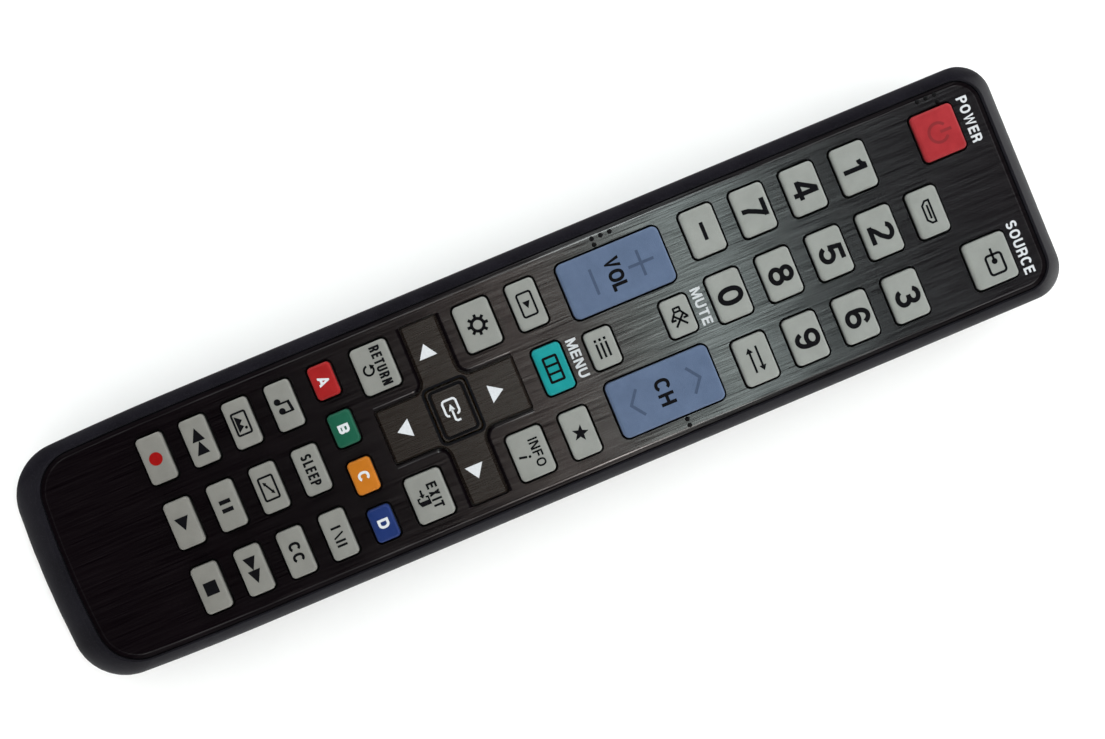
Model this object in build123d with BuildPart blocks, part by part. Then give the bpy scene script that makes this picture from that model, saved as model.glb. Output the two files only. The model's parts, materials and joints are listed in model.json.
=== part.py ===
# Infrared hand control for a television: a long flat handset with a brushed faceplate,
# silicone keys, two rockers, a cross-shaped direction pad and a sliding battery door.
#
# Frame: millimetres. +X is to the right and +Y towards the infrared window (the head end)
# when the keys face up, +Z is up. The origin is the centre of the flat back face.

import os

from build123d import *

os.makedirs("parts", exist_ok=True)

# ---------------------------------------------------------------- driving sizes
HALF_W = 25.4          # half of the widest width, at the seam between the two shells
HALF_L = 107.5         # half of the overall length

TAPER_Y = -70.0        # from here to the tail the sides draw in, on this radius
TAPER_R = 600.0

Z_SEAM = 10.5          # height of the seam between upper and lower shell
SEAM = 0.12            # open line between the shells
WALL = 1.9             # shell wall
Z_RIM = 18.8           # top of the rim round the faceplate

Z_BOARD0, Z_BOARD1 = 13.8, 15.0        # circuit board
Z_MAT1 = 16.0                          # top of the rubber mat (it lies on the board)
Z_DECK0, Z_DECK1 = 17.0, 18.2          # deck of the upper shell, with the key openings
Z_PLATE1 = 19.0                        # top of the faceplate

# how far the shoulder comes in from the seam outline by the top, and the back edge by the bottom
SHOULDER = (3.4, 5.0, 7.4)             # sides, head, tail
BELLY = (6.0, 6.0, 7.0)

GAP = 0.45             # open line round every key
FLANGE = 0.70          # how far a key's flange reaches beyond its cap, under the deck
FLANGE_T = 0.45
Z_FLANGE0 = 16.45      # underside of a key's flange at rest
PILL_R, PILL_T = 1.7, 0.2              # contact pill under each key
KEY_TOP = 20.55        # top of the key caps
KEY_R = 0.95           # corner radius of a cap seen from above
KEY_EDGE = 0.5         # rounding of a cap's top edge
MAT_CLEAR = 0.22       # open ring between a key's flange and the mat

COL = 13.86            # column pitch of the keys
CAP_W = 9.8

# name, x, y, width, height: every plain push key
KEYS = [
    ("power_key", -COL, 92.33, 9.80, 8.95),
    ("source_key", COL, 92.33, 9.80, 8.95),
    ("av_input_key", 0.0, 84.34, CAP_W, 6.38),
    ("digit_1_key", -COL, 73.85, CAP_W, 7.20),
    ("digit_2_key", 0.0, 73.85, CAP_W, 7.20),
    ("digit_3_key", COL, 73.85, CAP_W, 7.20),
    ("digit_4_key", -COL, 62.90, CAP_W, 7.15),
    ("digit_5_key", 0.0, 62.90, CAP_W, 7.15),
    ("digit_6_key", COL, 62.90, CAP_W, 7.15),
    ("digit_7_key", -COL, 51.94, CAP_W, 7.06),
    ("digit_8_key", 0.0, 51.94, CAP_W, 7.06),
    ("digit_9_key", COL, 51.94, CAP_W, 7.06),
    ("dash_key", -COL, 41.00, CAP_W, 7.00),
    ("digit_0_key", 0.0, 41.00, CAP_W, 7.00),
    ("previous_channel_key", COL, 41.00, CAP_W, 7.00),
    ("mute_key", 0.0, 30.02, 7.90, 5.72),
    ("channel_list_key", 0.0, 13.60, 7.90, 5.72),
    ("media_key", -COL, 2.96, CAP_W, 6.00),
    ("menu_key", 0.0, 2.96, CAP_W, 6.00),
    ("favourite_key", COL, 2.96, CAP_W, 6.00),
    ("tools_key", -COL, -7.66, CAP_W, 7.45),
    ("info_key", COL, -7.66, CAP_W, 7.45),
    ("return_key", -COL, -29.50, CAP_W, 7.70),
    ("exit_key", COL, -29.50, CAP_W, 7.70),
    ("red_key_a", -15.30, -39.94, 7.00, 4.86),
    ("green_key_b", -5.10, -39.94, 7.00, 4.86),
    ("yellow_key_c", 5.10, -39.94, 7.00, 4.86),
    ("blue_key_d", 15.30, -39.94, 7.00, 4.86),
    ("sound_mode_key", -COL, -49.00, CAP_W, 5.33),
    ("sleep_key", 0.0, -49.00, CAP_W, 5.33),
    ("audio_track_key", COL, -49.00, CAP_W, 5.33),
    ("picture_mode_key", -COL, -58.02, CAP_W, 5.37),
    ("picture_size_key", 0.0, -58.02, CAP_W, 5.37),
    ("captions_key", COL, -58.02, CAP_W, 5.37),
    ("rewind_key", -COL, -67.06, CAP_W, 5.42),
    ("pause_key", 0.0, -67.06, CAP_W, 5.42),
    ("fast_forward_key", COL, -67.06, CAP_W, 5.42),
    ("record_key", -COL, -76.13, CAP_W, 5.47),
    ("play_key", 0.0, -76.13, CAP_W, 5.47),
    ("stop_key", COL, -76.13, CAP_W, 5.47),
]

# the two rockers: hinge across the middle, top face hollowed along their length
ROCKER_X, ROCKER_Y, ROCKER_W, ROCKER_H = 12.78, 21.77, 11.75, 21.90
ROCKER_R = 1.3
ROCKER_GAP = 0.45
ROCKER_FLANGE = 0.68
Z_ROCK0, Z_ROCK1 = 15.80, 16.15        # flange; the hinge line is at its mid height
ROCKER_END_TOP, ROCKER_MID_TOP = 20.70, 20.30

# the direction cross and the enter key in its middle
NAV_Y = -18.50
NAV_X_HALF, NAV_Y_HALF = 18.95, 14.45  # tips of the side arms and of the up and down arms
ARM_X_HALF, ARM_Y_HALF = 3.58, 5.42    # half width of the side arms, of the up and down arms
NAV_CORNER = 2.8
NAV_GAP = 0.45
NAV_FLANGE = 0.55
Z_NAV_TOP = 19.25
NAV_HOLE = (11.40, 8.90, 1.30)         # width, height, corner radius
ENTER_RIM = (10.60, 8.10, 0.95)
ENTER_CAP = (9.10, 6.45, 0.60)

# faceplate
PLATE_HALF_W, PLATE_HEAD, PLATE_TAIL = 22.27, 103.0, -100.85
PLATE_R_HEAD, PLATE_R_TAIL, PLATE_BOW = 5.0, 8.3, 170.0
PLATE_GAP = 0.30
PLATE_BEVEL_W, PLATE_BEVEL_H = 0.95, 0.35

# battery bay for two AAA cells, side by side and head to tail
CELL_R, CELL_L = 5.25, 44.5
CELL_X, CELL_Z = 5.5, 7.25
BAY_HALF_W, BAY_Y0, BAY_Y1 = 11.1, -90.5, -38.2
BAY_WALL = 1.2
Z_BAY_TOP = 12.8
Z_TRAY0, Z_TRAY1 = 4.5, 5.7            # tray round the bay, above the door
DOOR_Y = -33.0                          # front edge of the door
DOOR_GAP = 0.15
DOOR_WALL = 1.6
TONGUES = ((-13.3, 3.4), (0.0, 3.4), (13.3, 3.4))   # x, width
SCREW_X, SCREW_Y = 16.5, -95.0


def shape_at(z):
    """Half width, head y, tail y, head radius, tail radius of the body at height z."""
    if z >= Z_SEAM:
        s = (z - Z_SEAM) / (19.1 - Z_SEAM)
        side, head, tail = SHOULDER
    else:
        s = (Z_SEAM - z) / (Z_SEAM + 0.3)
        side, head, tail = BELLY
    k = 1.0 - (1.0 - s * s) ** 0.5
    return (HALF_W - side * k, HALF_L - head * k, -HALF_L + tail * k, 6.8 - 1.2 * k, 11.0 - 2.0 * k)


def outline(half_w, head, tail, r_head, r_tail, bow=210.0, mode=Mode.ADD):
    """The body's plan: straight head and sides that draw in towards a slightly bowed tail."""
    def drawn_in(y):
        return half_w - (TAPER_Y - y) ** 2 / (2 * TAPER_R)

    y = tail
    for _ in range(30):
        y = tail + drawn_in(y) ** 2 / (2 * bow)
    x = drawn_in(y)
    y_mid = (TAPER_Y + y) / 2
    with BuildSketch(mode=Mode.PRIVATE) as plan:
        with BuildLine():
            Line((-half_w, head), (half_w, head))
            Line((half_w, head), (half_w, TAPER_Y))
            ThreePointArc((half_w, TAPER_Y), (drawn_in(y_mid), y_mid), (x, y))
            ThreePointArc((x, y), (0, tail), (-x, y))
            ThreePointArc((-x, y), (-drawn_in(y_mid), y_mid), (-half_w, TAPER_Y))
            Line((-half_w, TAPER_Y), (-half_w, head))
        make_face()
        fillet(plan.vertices().group_by(Axis.Y)[-1], radius=r_head)
        fillet(plan.vertices().group_by(Axis.Y)[0], radius=r_tail)
    return add(plan.sketch, mode=mode)


def inset(z, d):
    """The body's plan at height z, taken in by d."""
    w, h, t, rh, rt = shape_at(z)
    return outline(w - d, h - d, t + d, rh - d, rt - d)


def save(name, part):
    part.label = name
    export_step(part, f"parts/{name}.step")


def cross(x_half, y_half, arm_x, arm_y, r_inner, r_tip):
    """A plus shape round (0, NAV_Y): side arms 2 arm_x wide, up and down arms 2 arm_y wide."""
    with BuildSketch(mode=Mode.PRIVATE) as plus:
        with Locations((0, NAV_Y)):
            Rectangle(2 * x_half, 2 * arm_x)
            Rectangle(2 * arm_y, 2 * y_half)
        inner = [
            v
            for v in plus.vertices()
            if abs(abs(v.X) - arm_y) < 1e-6 and abs(abs(v.Y - NAV_Y) - arm_x) < 1e-6
        ]
        fillet(inner, radius=r_inner)
        tips = [
            v
            for v in plus.vertices()
            if abs(abs(v.X) - x_half) < 1e-6 or abs(abs(v.Y - NAV_Y) - y_half) < 1e-6
        ]
        fillet(tips, radius=r_tip)
    return add(plus.sketch)


# ---------------------------------------------------------------- bodies the shells are cut from
with BuildPart() as upper_outer:
    for z in (Z_SEAM, 12.5, 14.5, 16.2, 17.5, 18.3, Z_RIM):
        with BuildSketch(Plane.XY.offset(z)):
            inset(z, 0.0)
    loft()

with BuildPart() as lower_outer:
    for z in (0.0, 0.4, 1.3, 2.8, 4.5, 6.5, 8.5, Z_SEAM):
        with BuildSketch(Plane.XY.offset(z)):
            inset(z, 0.0)
    loft()

with BuildPart() as upper_inner:
    for z in (Z_SEAM, 14.0, Z_DECK0):
        with BuildSketch(Plane.XY.offset(z)):
            inset(z, WALL)
    loft(ruled=True)

with BuildPart() as lower_inner:
    for z in (WALL, 4.5, 7.5, Z_SEAM):
        with BuildSketch(Plane.XY.offset(z)):
            inset(z, WALL)
    loft(ruled=True)

# every opening through deck and faceplate, drawn once
with BuildSketch() as openings:
    for name, x, y, w, h in KEYS:
        with Locations((x, y)):
            RectangleRounded(w + 2 * GAP, h + 2 * GAP, KEY_R + GAP)
    for sx in (-1, 1):
        with Locations((sx * ROCKER_X, ROCKER_Y)):
            RectangleRounded(ROCKER_W + 2 * ROCKER_GAP, ROCKER_H + 2 * ROCKER_GAP, ROCKER_R + ROCKER_GAP)
    cross(
        NAV_X_HALF + NAV_GAP, NAV_Y_HALF + NAV_GAP, ARM_X_HALF + NAV_GAP, ARM_Y_HALF + NAV_GAP,
        NAV_CORNER - NAV_GAP, 0.6,
    )

# ---------------------------------------------------------------- upper shell
with BuildPart() as upper_case:
    add(upper_outer.part)
    add(upper_inner.part, mode=Mode.SUBTRACT)
    # pocket the faceplate sits in
    with BuildSketch(Plane.XY.offset(Z_DECK1)):
        outline(PLATE_HALF_W + PLATE_GAP, PLATE_HEAD + PLATE_GAP, PLATE_TAIL - PLATE_GAP,
                PLATE_R_HEAD + PLATE_GAP, PLATE_R_TAIL + PLATE_GAP, PLATE_BOW)
    extrude(amount=2.0, mode=Mode.SUBTRACT)
    # key openings
    with BuildSketch(Plane.XY.offset(Z_DECK0 - 0.5)):
        add(openings.sketch)
    extrude(amount=3.0, mode=Mode.SUBTRACT)
    # rebate for the lower shell's lip, and the open seam line
    with BuildSketch(Plane.XY.offset(Z_SEAM)):
        inset(Z_SEAM, 0.95)
    extrude(amount=1.5, mode=Mode.SUBTRACT)
    with BuildSketch(Plane.XY.offset(Z_SEAM - 1)):
        inset(Z_SEAM, -2.0)
    extrude(amount=1 + SEAM / 2, mode=Mode.SUBTRACT)
    # window opening in the head wall
    with BuildSketch(Plane.XZ.offset(-104.0)):
        with Locations((0, 10.6)):
            RectangleRounded(17.0, 7.2, 1.6)
    extrude(amount=-8.0, mode=Mode.SUBTRACT)
    # ribs under the deck that hold the mat's edge down
    with BuildSketch(Plane.XY.offset(Z_MAT1 + 0.05)):
        for sx in (-1, 1):
            with Locations((sx * 20.10, 9.0)):
                Rectangle(0.7, 176.0)
    extrude(amount=Z_DECK0 - Z_MAT1)
    # screw bosses down from the deck at the tail
    with BuildSketch(Plane.XY.offset(8.3)):
        with Locations((-SCREW_X, SCREW_Y), (SCREW_X, SCREW_Y)):
            Circle(2.5)
    extrude(amount=Z_DECK0 - 8.3 + 0.2)
    with BuildSketch(Plane.XY.offset(8.3)):
        with Locations((-SCREW_X, SCREW_Y), (SCREW_X, SCREW_Y)):
            Circle(1.16)
    extrude(amount=7.5, mode=Mode.SUBTRACT)
save("upper_case", upper_case.part)

# ---------------------------------------------------------------- faceplate
with BuildPart() as slope:
    with BuildSketch(Plane.XY.offset(Z_PLATE1 - 0.30)):
        cross(NAV_X_HALF + NAV_GAP, NAV_Y_HALF + NAV_GAP, ARM_X_HALF + NAV_GAP, ARM_Y_HALF + NAV_GAP,
              NAV_CORNER - NAV_GAP, 0.3)
    with BuildSketch(Plane.XY.offset(Z_PLATE1 + 0.02)):
        cross(NAV_X_HALF + NAV_GAP + 0.7, NAV_Y_HALF + NAV_GAP + 0.7, ARM_X_HALF + NAV_GAP + 0.7,
              ARM_Y_HALF + NAV_GAP + 0.7, NAV_CORNER - NAV_GAP - 0.7, 0.3)
    loft(ruled=True)
    with BuildSketch(Plane.XY.offset(Z_PLATE1 - 1)):
        with Locations((0, NAV_Y)):
            Rectangle(2 * (NAV_X_HALF + NAV_GAP) - 0.4, 2 * (NAV_Y_HALF + NAV_GAP) - 0.4)
    extrude(amount=2.0, mode=Mode.INTERSECT)

with BuildPart() as faceplate:
    with BuildSketch(Plane.XY.offset(Z_DECK1)):
        outline(PLATE_HALF_W, PLATE_HEAD, PLATE_TAIL, PLATE_R_HEAD, PLATE_R_TAIL, PLATE_BOW)
    extrude(amount=Z_PLATE1 - PLATE_BEVEL_H - Z_DECK1)
    # bevelled border
    with BuildSketch(Plane.XY.offset(Z_PLATE1 - PLATE_BEVEL_H)):
        outline(PLATE_HALF_W, PLATE_HEAD, PLATE_TAIL, PLATE_R_HEAD, PLATE_R_TAIL, PLATE_BOW)
    with BuildSketch(Plane.XY.offset(Z_PLATE1)):
        outline(PLATE_HALF_W - PLATE_BEVEL_W, PLATE_HEAD - PLATE_BEVEL_W, PLATE_TAIL + PLATE_BEVEL_W,
                PLATE_R_HEAD - PLATE_BEVEL_W, PLATE_R_TAIL - PLATE_BEVEL_W, PLATE_BOW)
    loft(ruled=True)
    with BuildSketch(Plane.XY.offset(Z_DECK1 - 0.5)):
        add(openings.sketch)
    extrude(amount=2.0, mode=Mode.SUBTRACT)
    # shallow bevel down to the cross along its inner sides, ending at the arms' tips
    add(slope.part, mode=Mode.SUBTRACT)
    # raised tactile dots beside the power key and the two rockers
    for x, y in [
        (-21.2, 94.75), (-21.2, 92.85), (-21.2, 90.95), (-19.7, 94.75),
        (-20.95, 23.82), (-20.95, 21.90), (-20.95, 19.98), (-19.65, 19.98),
        (19.65, 23.85), (20.95, 23.85),
    ]:
        with Locations((x, y, Z_PLATE1 - 0.12)):
            Sphere(0.36)
save("faceplate", faceplate.part)

# ---------------------------------------------------------------- lower shell
with BuildPart() as lower_case:
    add(lower_outer.part)
    add(lower_inner.part, mode=Mode.SUBTRACT)
    # everything under the tray, from the door's front edge to the tail, belongs to the door
    with BuildSketch(Plane.XY.offset(-1.0)):
        with Locations((0, (DOOR_Y - 120.0) / 2)):
            Rectangle(60.0, 120.0 + DOOR_Y)
    extrude(amount=1.0 + Z_TRAY0, mode=Mode.SUBTRACT)
    # tray round the bay
    with BuildSketch(Plane.XY.offset(Z_TRAY0)):
        inset(Z_TRAY0, WALL - 0.4)
        with Locations((0, DOOR_Y + 100.0)):
            Rectangle(80.0, 200.0, mode=Mode.SUBTRACT)
    extrude(amount=Z_TRAY1 - Z_TRAY0)
    # wall between the door's space and the head half of the case
    with BuildSketch(Plane.XY.offset(WALL - 0.3)):
        with Locations((0, DOOR_Y + 0.7)):
            Rectangle(2 * (shape_at(WALL)[0] - WALL + 0.2), 1.4)
    extrude(amount=Z_TRAY1 - WALL + 0.3)
    # bay: four walls and a ceiling, then the space for the cells
    with BuildSketch(Plane.XY.offset(Z_TRAY0)):
        with Locations((0, (BAY_Y0 + BAY_Y1) / 2)):
            Rectangle(2 * (BAY_HALF_W + BAY_WALL), BAY_Y1 - BAY_Y0 + 2 * BAY_WALL)
    extrude(amount=Z_BAY_TOP + 0.8 - Z_TRAY0)
    with BuildSketch(Plane.XY.offset(Z_TRAY0 - 0.5)):
        with Locations((0, (BAY_Y0 + BAY_Y1) / 2)):
            Rectangle(2 * BAY_HALF_W, BAY_Y1 - BAY_Y0)
    extrude(amount=Z_BAY_TOP - Z_TRAY0 + 0.5, mode=Mode.SUBTRACT)
    # low ridge between the cells
    with BuildSketch(Plane.XZ.offset(-BAY_Y0 - 8.0)):
        with Locations((0, Z_BAY_TOP)):
            Polygon((-1.3, 0.3), (1.3, 0.3), (0.35, -2.0), (-0.35, -2.0), align=None)
    extrude(amount=-(BAY_Y1 - BAY_Y0 - 16.0))
    # slots for the contact legs through the ceiling
    with BuildSketch(Plane.XY.offset(Z_BAY_TOP - 1)):
        with Locations((-CELL_X, BAY_Y1 - 0.25), (CELL_X, BAY_Y1 - 0.25)):
            Rectangle(2.6, 0.9)
    extrude(amount=3.0, mode=Mode.SUBTRACT)
    # rails the door's hooks run on
    for sx in (-1, 1):
        with BuildSketch(Plane.XY.offset(2.5)):
            with Locations((sx * 19.0, -65.0)):
                Rectangle(3.0, 50.0)
        extrude(amount=0.7)
        with BuildSketch(Plane.XY.offset(2.5)):
            with Locations((sx * 20.0, -65.0)):
                Rectangle(1.0, 50.0)
        extrude(amount=Z_TRAY0 - 2.5 + 0.2)
    # screw seats in the tray
    with BuildSketch(Plane.XY.offset(Z_TRAY0)):
        with Locations((-SCREW_X, SCREW_Y), (SCREW_X, SCREW_Y)):
            Circle(3.4)
    extrude(amount=3.7)
    with BuildSketch(Plane.XY.offset(Z_TRAY0 - 0.2)):
        with Locations((-SCREW_X, SCREW_Y), (SCREW_X, SCREW_Y)):
            Circle(2.2)
    extrude(amount=2.2, mode=Mode.SUBTRACT)
    with BuildSketch(Plane.XY.offset(Z_TRAY0)):
        with Locations((-SCREW_X, SCREW_Y), (SCREW_X, SCREW_Y)):
            Circle(1.3)
    extrude(amount=5.0, mode=Mode.SUBTRACT)
    # posts that carry the board in the head half
    with BuildSketch(Plane.XY.offset(WALL - 0.3)):
        with Locations((-17.0, 84.0), (17.0, 84.0), (-17.0, 35.0), (17.0, 35.0), (-17.0, -20.0), (17.0, -20.0)):
            Circle(1.8)
    extrude(amount=Z_BOARD0 - 0.05 - WALL + 0.3)
    # lip that locates the upper shell
    with BuildSketch(Plane.XY.offset(Z_SEAM - 1.0)):
        inset(Z_SEAM, 1.1)
        with BuildSketch(mode=Mode.PRIVATE) as hollow:
            inset(Z_SEAM, WALL)
        add(hollow.sketch, mode=Mode.SUBTRACT)
    extrude(amount=2.3)
    # the open seam line outside the lip
    with BuildSketch(Plane.XY.offset(Z_SEAM - SEAM / 2)):
        inset(Z_SEAM, -2.0)
        with BuildSketch(mode=Mode.PRIVATE) as kept:
            inset(Z_SEAM, 1.1)
        add(kept.sketch, mode=Mode.SUBTRACT)
    extrude(amount=1.0, mode=Mode.SUBTRACT)
    # window opening in the head wall
    with BuildSketch(Plane.XZ.offset(-104.0)):
        with Locations((0, 10.6)):
            RectangleRounded(17.0, 7.2, 1.6)
    extrude(amount=-8.0, mode=Mode.SUBTRACT)
    # slots for the door's tongues
    with BuildSketch(Plane.XY.offset(1.9)):
        for x, w in TONGUES:
            with Locations((x, DOOR_Y + 0.7)):
                Rectangle(w + 0.6, 2.4)
    extrude(amount=1.25, mode=Mode.SUBTRACT)
save("lower_case", lower_case.part)

# ---------------------------------------------------------------- battery door
with BuildPart() as door_inner:
    for z in (DOOR_WALL, 3.0, 4.6):
        with BuildSketch(Plane.XY.offset(z)):
            inset(z, DOOR_WALL)
    loft(ruled=True)

with BuildPart() as battery_door:
    add(lower_outer.part)
    add(door_inner.part, mode=Mode.SUBTRACT)
    # keep only what lies behind the front edge and under the tray
    with BuildSketch(Plane.XY.offset(-1.0)):
        with Locations((0, (DOOR_Y - DOOR_GAP - 120.0) / 2)):
            Rectangle(60.0, 120.0 + DOOR_Y - DOOR_GAP)
    extrude(amount=1.0 + Z_TRAY0 - DOOR_GAP, mode=Mode.INTERSECT)
    # three tongues into the case, one between the cells and one each side of them
    for x, w in TONGUES:
        with BuildSketch(Plane.XY.offset(2.05)):
            with Locations((x, DOOR_Y + 0.6)):
                Rectangle(w, 4.0)
        extrude(amount=0.9)
        with BuildSketch(Plane.XY.offset(DOOR_WALL - 0.3)):
            with Locations((x, DOOR_Y - DOOR_GAP - 1.1)):
                Rectangle(w, 2.2)
        extrude(amount=1.65)
    # hooks: a web and a lip that reaches over the rail, two a side
    for sx in (-1, 1):
        with BuildSketch(Plane.XY.offset(DOOR_WALL - 0.3)):
            with Locations((sx * 16.6, -51.0), (sx * 16.6, -80.0)):
                Rectangle(1.2, 8.0)
        extrude(amount=4.05 - DOOR_WALL + 0.3)
        with BuildSketch(Plane.XY.offset(3.40)):
            with Locations((sx * 17.6, -51.0), (sx * 17.6, -80.0)):
                Rectangle(3.2, 8.0)
        extrude(amount=0.65)
    # stiffening ribs across the inside
    with BuildSketch(Plane.XY.offset(DOOR_WALL - 0.3)):
        with Locations((0, -58.0), (0, -74.0), (0, -90.0)):
            Rectangle(30.0, 0.9)
    extrude(amount=0.55)
    # thumb grip: a shallow scoop with five low ridges in it
    with BuildSketch(Plane.XY):
        with Locations((0, -43.0)):
            SlotOverall(17.0, 9.0)
    extrude(amount=0.5, mode=Mode.SUBTRACT)
    with BuildSketch(Plane.XY.offset(0.55)):
        with Locations((0, -45.6), (0, -44.3), (0, -43.0), (0, -41.7), (0, -40.4)):
            Rectangle(8.4, 0.55)
    extrude(amount=-0.4)
save("battery_door", battery_door.part)

# ---------------------------------------------------------------- rubber mat
with BuildPart() as keypad_mat:
    with BuildSketch(Plane.XY.offset(Z_BOARD1)):
        with Locations((0, 9.0)):
            RectangleRounded(40.8, 180.0, 2.0)
        grow = FLANGE + MAT_CLEAR
        for name, x, y, w, h in KEYS:
            with Locations((x, y)):
                RectangleRounded(w + 2 * grow, h + 2 * grow, KEY_R + grow, mode=Mode.SUBTRACT)
        for sx in (-1, 1):
            with Locations((sx * ROCKER_X, ROCKER_Y)):
                RectangleRounded(ROCKER_W + 2 * ROCKER_FLANGE + 0.5, ROCKER_H + 2 * ROCKER_FLANGE + 0.5,
                                 ROCKER_R + ROCKER_FLANGE, mode=Mode.SUBTRACT)
        with BuildSketch(mode=Mode.PRIVATE) as nav_open:
            cross(NAV_X_HALF + NAV_FLANGE + 0.25, NAV_Y_HALF + NAV_FLANGE + 0.25, ARM_X_HALF + NAV_FLANGE + 0.25,
                  ARM_Y_HALF + NAV_FLANGE + 0.25, NAV_CORNER - NAV_FLANGE - 0.25, 0.6)
        add(nav_open.sketch, mode=Mode.SUBTRACT)
        # bars across the rockers' openings, which they rock on
        for sx in (-1, 1):
            with Locations((sx * ROCKER_X, ROCKER_Y)):
                Rectangle(ROCKER_W + 3.0, 1.2)
        # locating holes over the board's own
        with Locations((-7.0, 88.0), (7.0, 88.0), (-7.0, -39.9 - 4.55), (7.0, -39.9 - 4.55)):
            Circle(0.8, mode=Mode.SUBTRACT)
    extrude(amount=Z_MAT1 - Z_BOARD1)
    with BuildSketch(Plane.XY.offset(Z_ROCK0 - 0.06)):
        for sx in (-1, 1):
            with Locations((sx * ROCKER_X, ROCKER_Y)):
                Rectangle(ROCKER_W + 2 * ROCKER_FLANGE + 0.5, 2.0)
    extrude(amount=1.0, mode=Mode.SUBTRACT)
save("keypad_mat", keypad_mat.part)

# ---------------------------------------------------------------- circuit board
with BuildPart() as circuit_board:
    with BuildSketch(Plane.XY.offset(Z_BOARD0)):
        with Locations((0, 8.5)):
            RectangleRounded(41.2, 182.0, 1.2)
        # notches that clear the shell's ribs, and the contact-leg slots
        with Locations((-20.6, 60.0), (20.6, 60.0), (-20.6, -60.0), (20.6, -60.0)):
            Circle(1.2, mode=Mode.SUBTRACT)
        with Locations((-CELL_X, BAY_Y1 - 0.25), (CELL_X, BAY_Y1 - 0.25)):
            Rectangle(2.6, 0.9, mode=Mode.SUBTRACT)
        with Locations((-1.27, 93.5), (1.27, 93.5)):
            Circle(0.45, mode=Mode.SUBTRACT)
        with Locations((-7.0, 88.0), (7.0, 88.0), (-7.0, -39.9 - 4.55), (7.0, -39.9 - 4.55)):
            Circle(0.8, mode=Mode.SUBTRACT)
    extrude(amount=Z_BOARD1 - 0.02 - Z_BOARD0)
save("circuit_board", circuit_board.part)

# ---------------------------------------------------------------- push keys
for name, x, y, w, h in KEYS:
    with BuildPart() as push_key:
        with BuildSketch(Plane.XY.offset(Z_FLANGE0)):
            with Locations((x, y)):
                RectangleRounded(w + 2 * FLANGE, h + 2 * FLANGE, KEY_R + FLANGE)
        extrude(amount=FLANGE_T)
        with BuildSketch(Plane.XY.offset(Z_FLANGE0 + FLANGE_T)):
            with Locations((x, y)):
                RectangleRounded(w, h, KEY_R)
        extrude(amount=KEY_TOP - Z_FLANGE0 - FLANGE_T)
        fillet(push_key.faces().sort_by(Axis.Z)[-1].edges(), radius=KEY_EDGE)
        with BuildSketch(Plane.XY.offset(Z_FLANGE0)):
            with Locations((x, y)):
                Circle(PILL_R)
        extrude(amount=-PILL_T)
        if name == "power_key":
            # standby mark sunk into the cap: an open ring and a bar
            with BuildSketch(Plane.XY.offset(KEY_TOP)):
                with Locations((x, y - 0.1)):
                    Circle(2.25)
                    Circle(1.62, mode=Mode.SUBTRACT)
                    with Locations((0, 2.0)):
                        Rectangle(1.9, 2.4, mode=Mode.SUBTRACT)
                    with Locations((0, 1.75)):
                        RectangleRounded(0.62, 2.5, 0.25)
            extrude(amount=-0.14, mode=Mode.SUBTRACT)
    save(name, push_key.part)

# ---------------------------------------------------------------- rockers
def above_saddle(lower_by):
    """The space above the rockers' hollowed top face, moved down by lower_by."""
    y0, y1 = ROCKER_Y - 14.0, ROCKER_Y + 14.0
    rise = (ROCKER_END_TOP - ROCKER_MID_TOP) * (14.0 / (ROCKER_H / 2)) ** 2
    with BuildSketch(mode=Mode.PRIVATE) as space:
        with BuildLine():
            ThreePointArc((y0, ROCKER_MID_TOP + rise - lower_by), (ROCKER_Y, ROCKER_MID_TOP - lower_by),
                          (y1, ROCKER_MID_TOP + rise - lower_by))
            Line((y1, ROCKER_MID_TOP + rise - lower_by), (y1, 26.0))
            Line((y1, 26.0), (y0, 26.0))
            Line((y0, 26.0), (y0, ROCKER_MID_TOP + rise - lower_by))
        make_face()
    return add(space.sketch)


for name, sx in (("volume_rocker", -1), ("channel_rocker", 1)):
    cx = sx * ROCKER_X
    with BuildPart() as marks:
        with BuildSketch(Plane.XY.offset(19.0)):
            if sx < 0:
                with Locations((cx, ROCKER_Y + 5.36)):
                    Rectangle(5.4, 0.5)
                    Rectangle(0.5, 5.4)
                with Locations((cx, ROCKER_Y - 4.72)):
                    Rectangle(5.4, 0.5)
            else:
                for y, way in ((ROCKER_Y + 6.48, 1), (ROCKER_Y - 6.33, -1)):
                    with Locations((cx, y)):
                        Polygon((-2.9, -0.93 * way), (0.0, 1.27 * way), (2.9, -0.93 * way),
                                (2.6, -1.33 * way), (0.0, 0.65 * way), (-2.6, -1.33 * way), align=None)
        extrude(amount=3.0)
        with BuildSketch(Plane.YZ.offset(cx)):
            above_saddle(0.13)
        extrude(amount=10.0, both=True, mode=Mode.INTERSECT)
    with BuildPart() as rocker:
        with BuildSketch(Plane.XY.offset(Z_ROCK0)):
            with Locations((cx, ROCKER_Y)):
                RectangleRounded(ROCKER_W + 2 * ROCKER_FLANGE, ROCKER_H + 2 * ROCKER_FLANGE, ROCKER_R + ROCKER_FLANGE)
        extrude(amount=Z_ROCK1 - Z_ROCK0)
        with BuildSketch(Plane.XY.offset(Z_ROCK1)):
            with Locations((cx, ROCKER_Y)):
                RectangleRounded(ROCKER_W, ROCKER_H, ROCKER_R)
        extrude(amount=21.2 - Z_ROCK1)
        with BuildSketch(Plane.YZ.offset(cx)):
            above_saddle(0.0)
        extrude(amount=10.0, both=True, mode=Mode.SUBTRACT)
        fillet(rocker.faces().sort_by(Axis.Z)[-1].edges(), radius=0.5)
        add(marks.part, mode=Mode.SUBTRACT)
    save(name, rocker.part)

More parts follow.
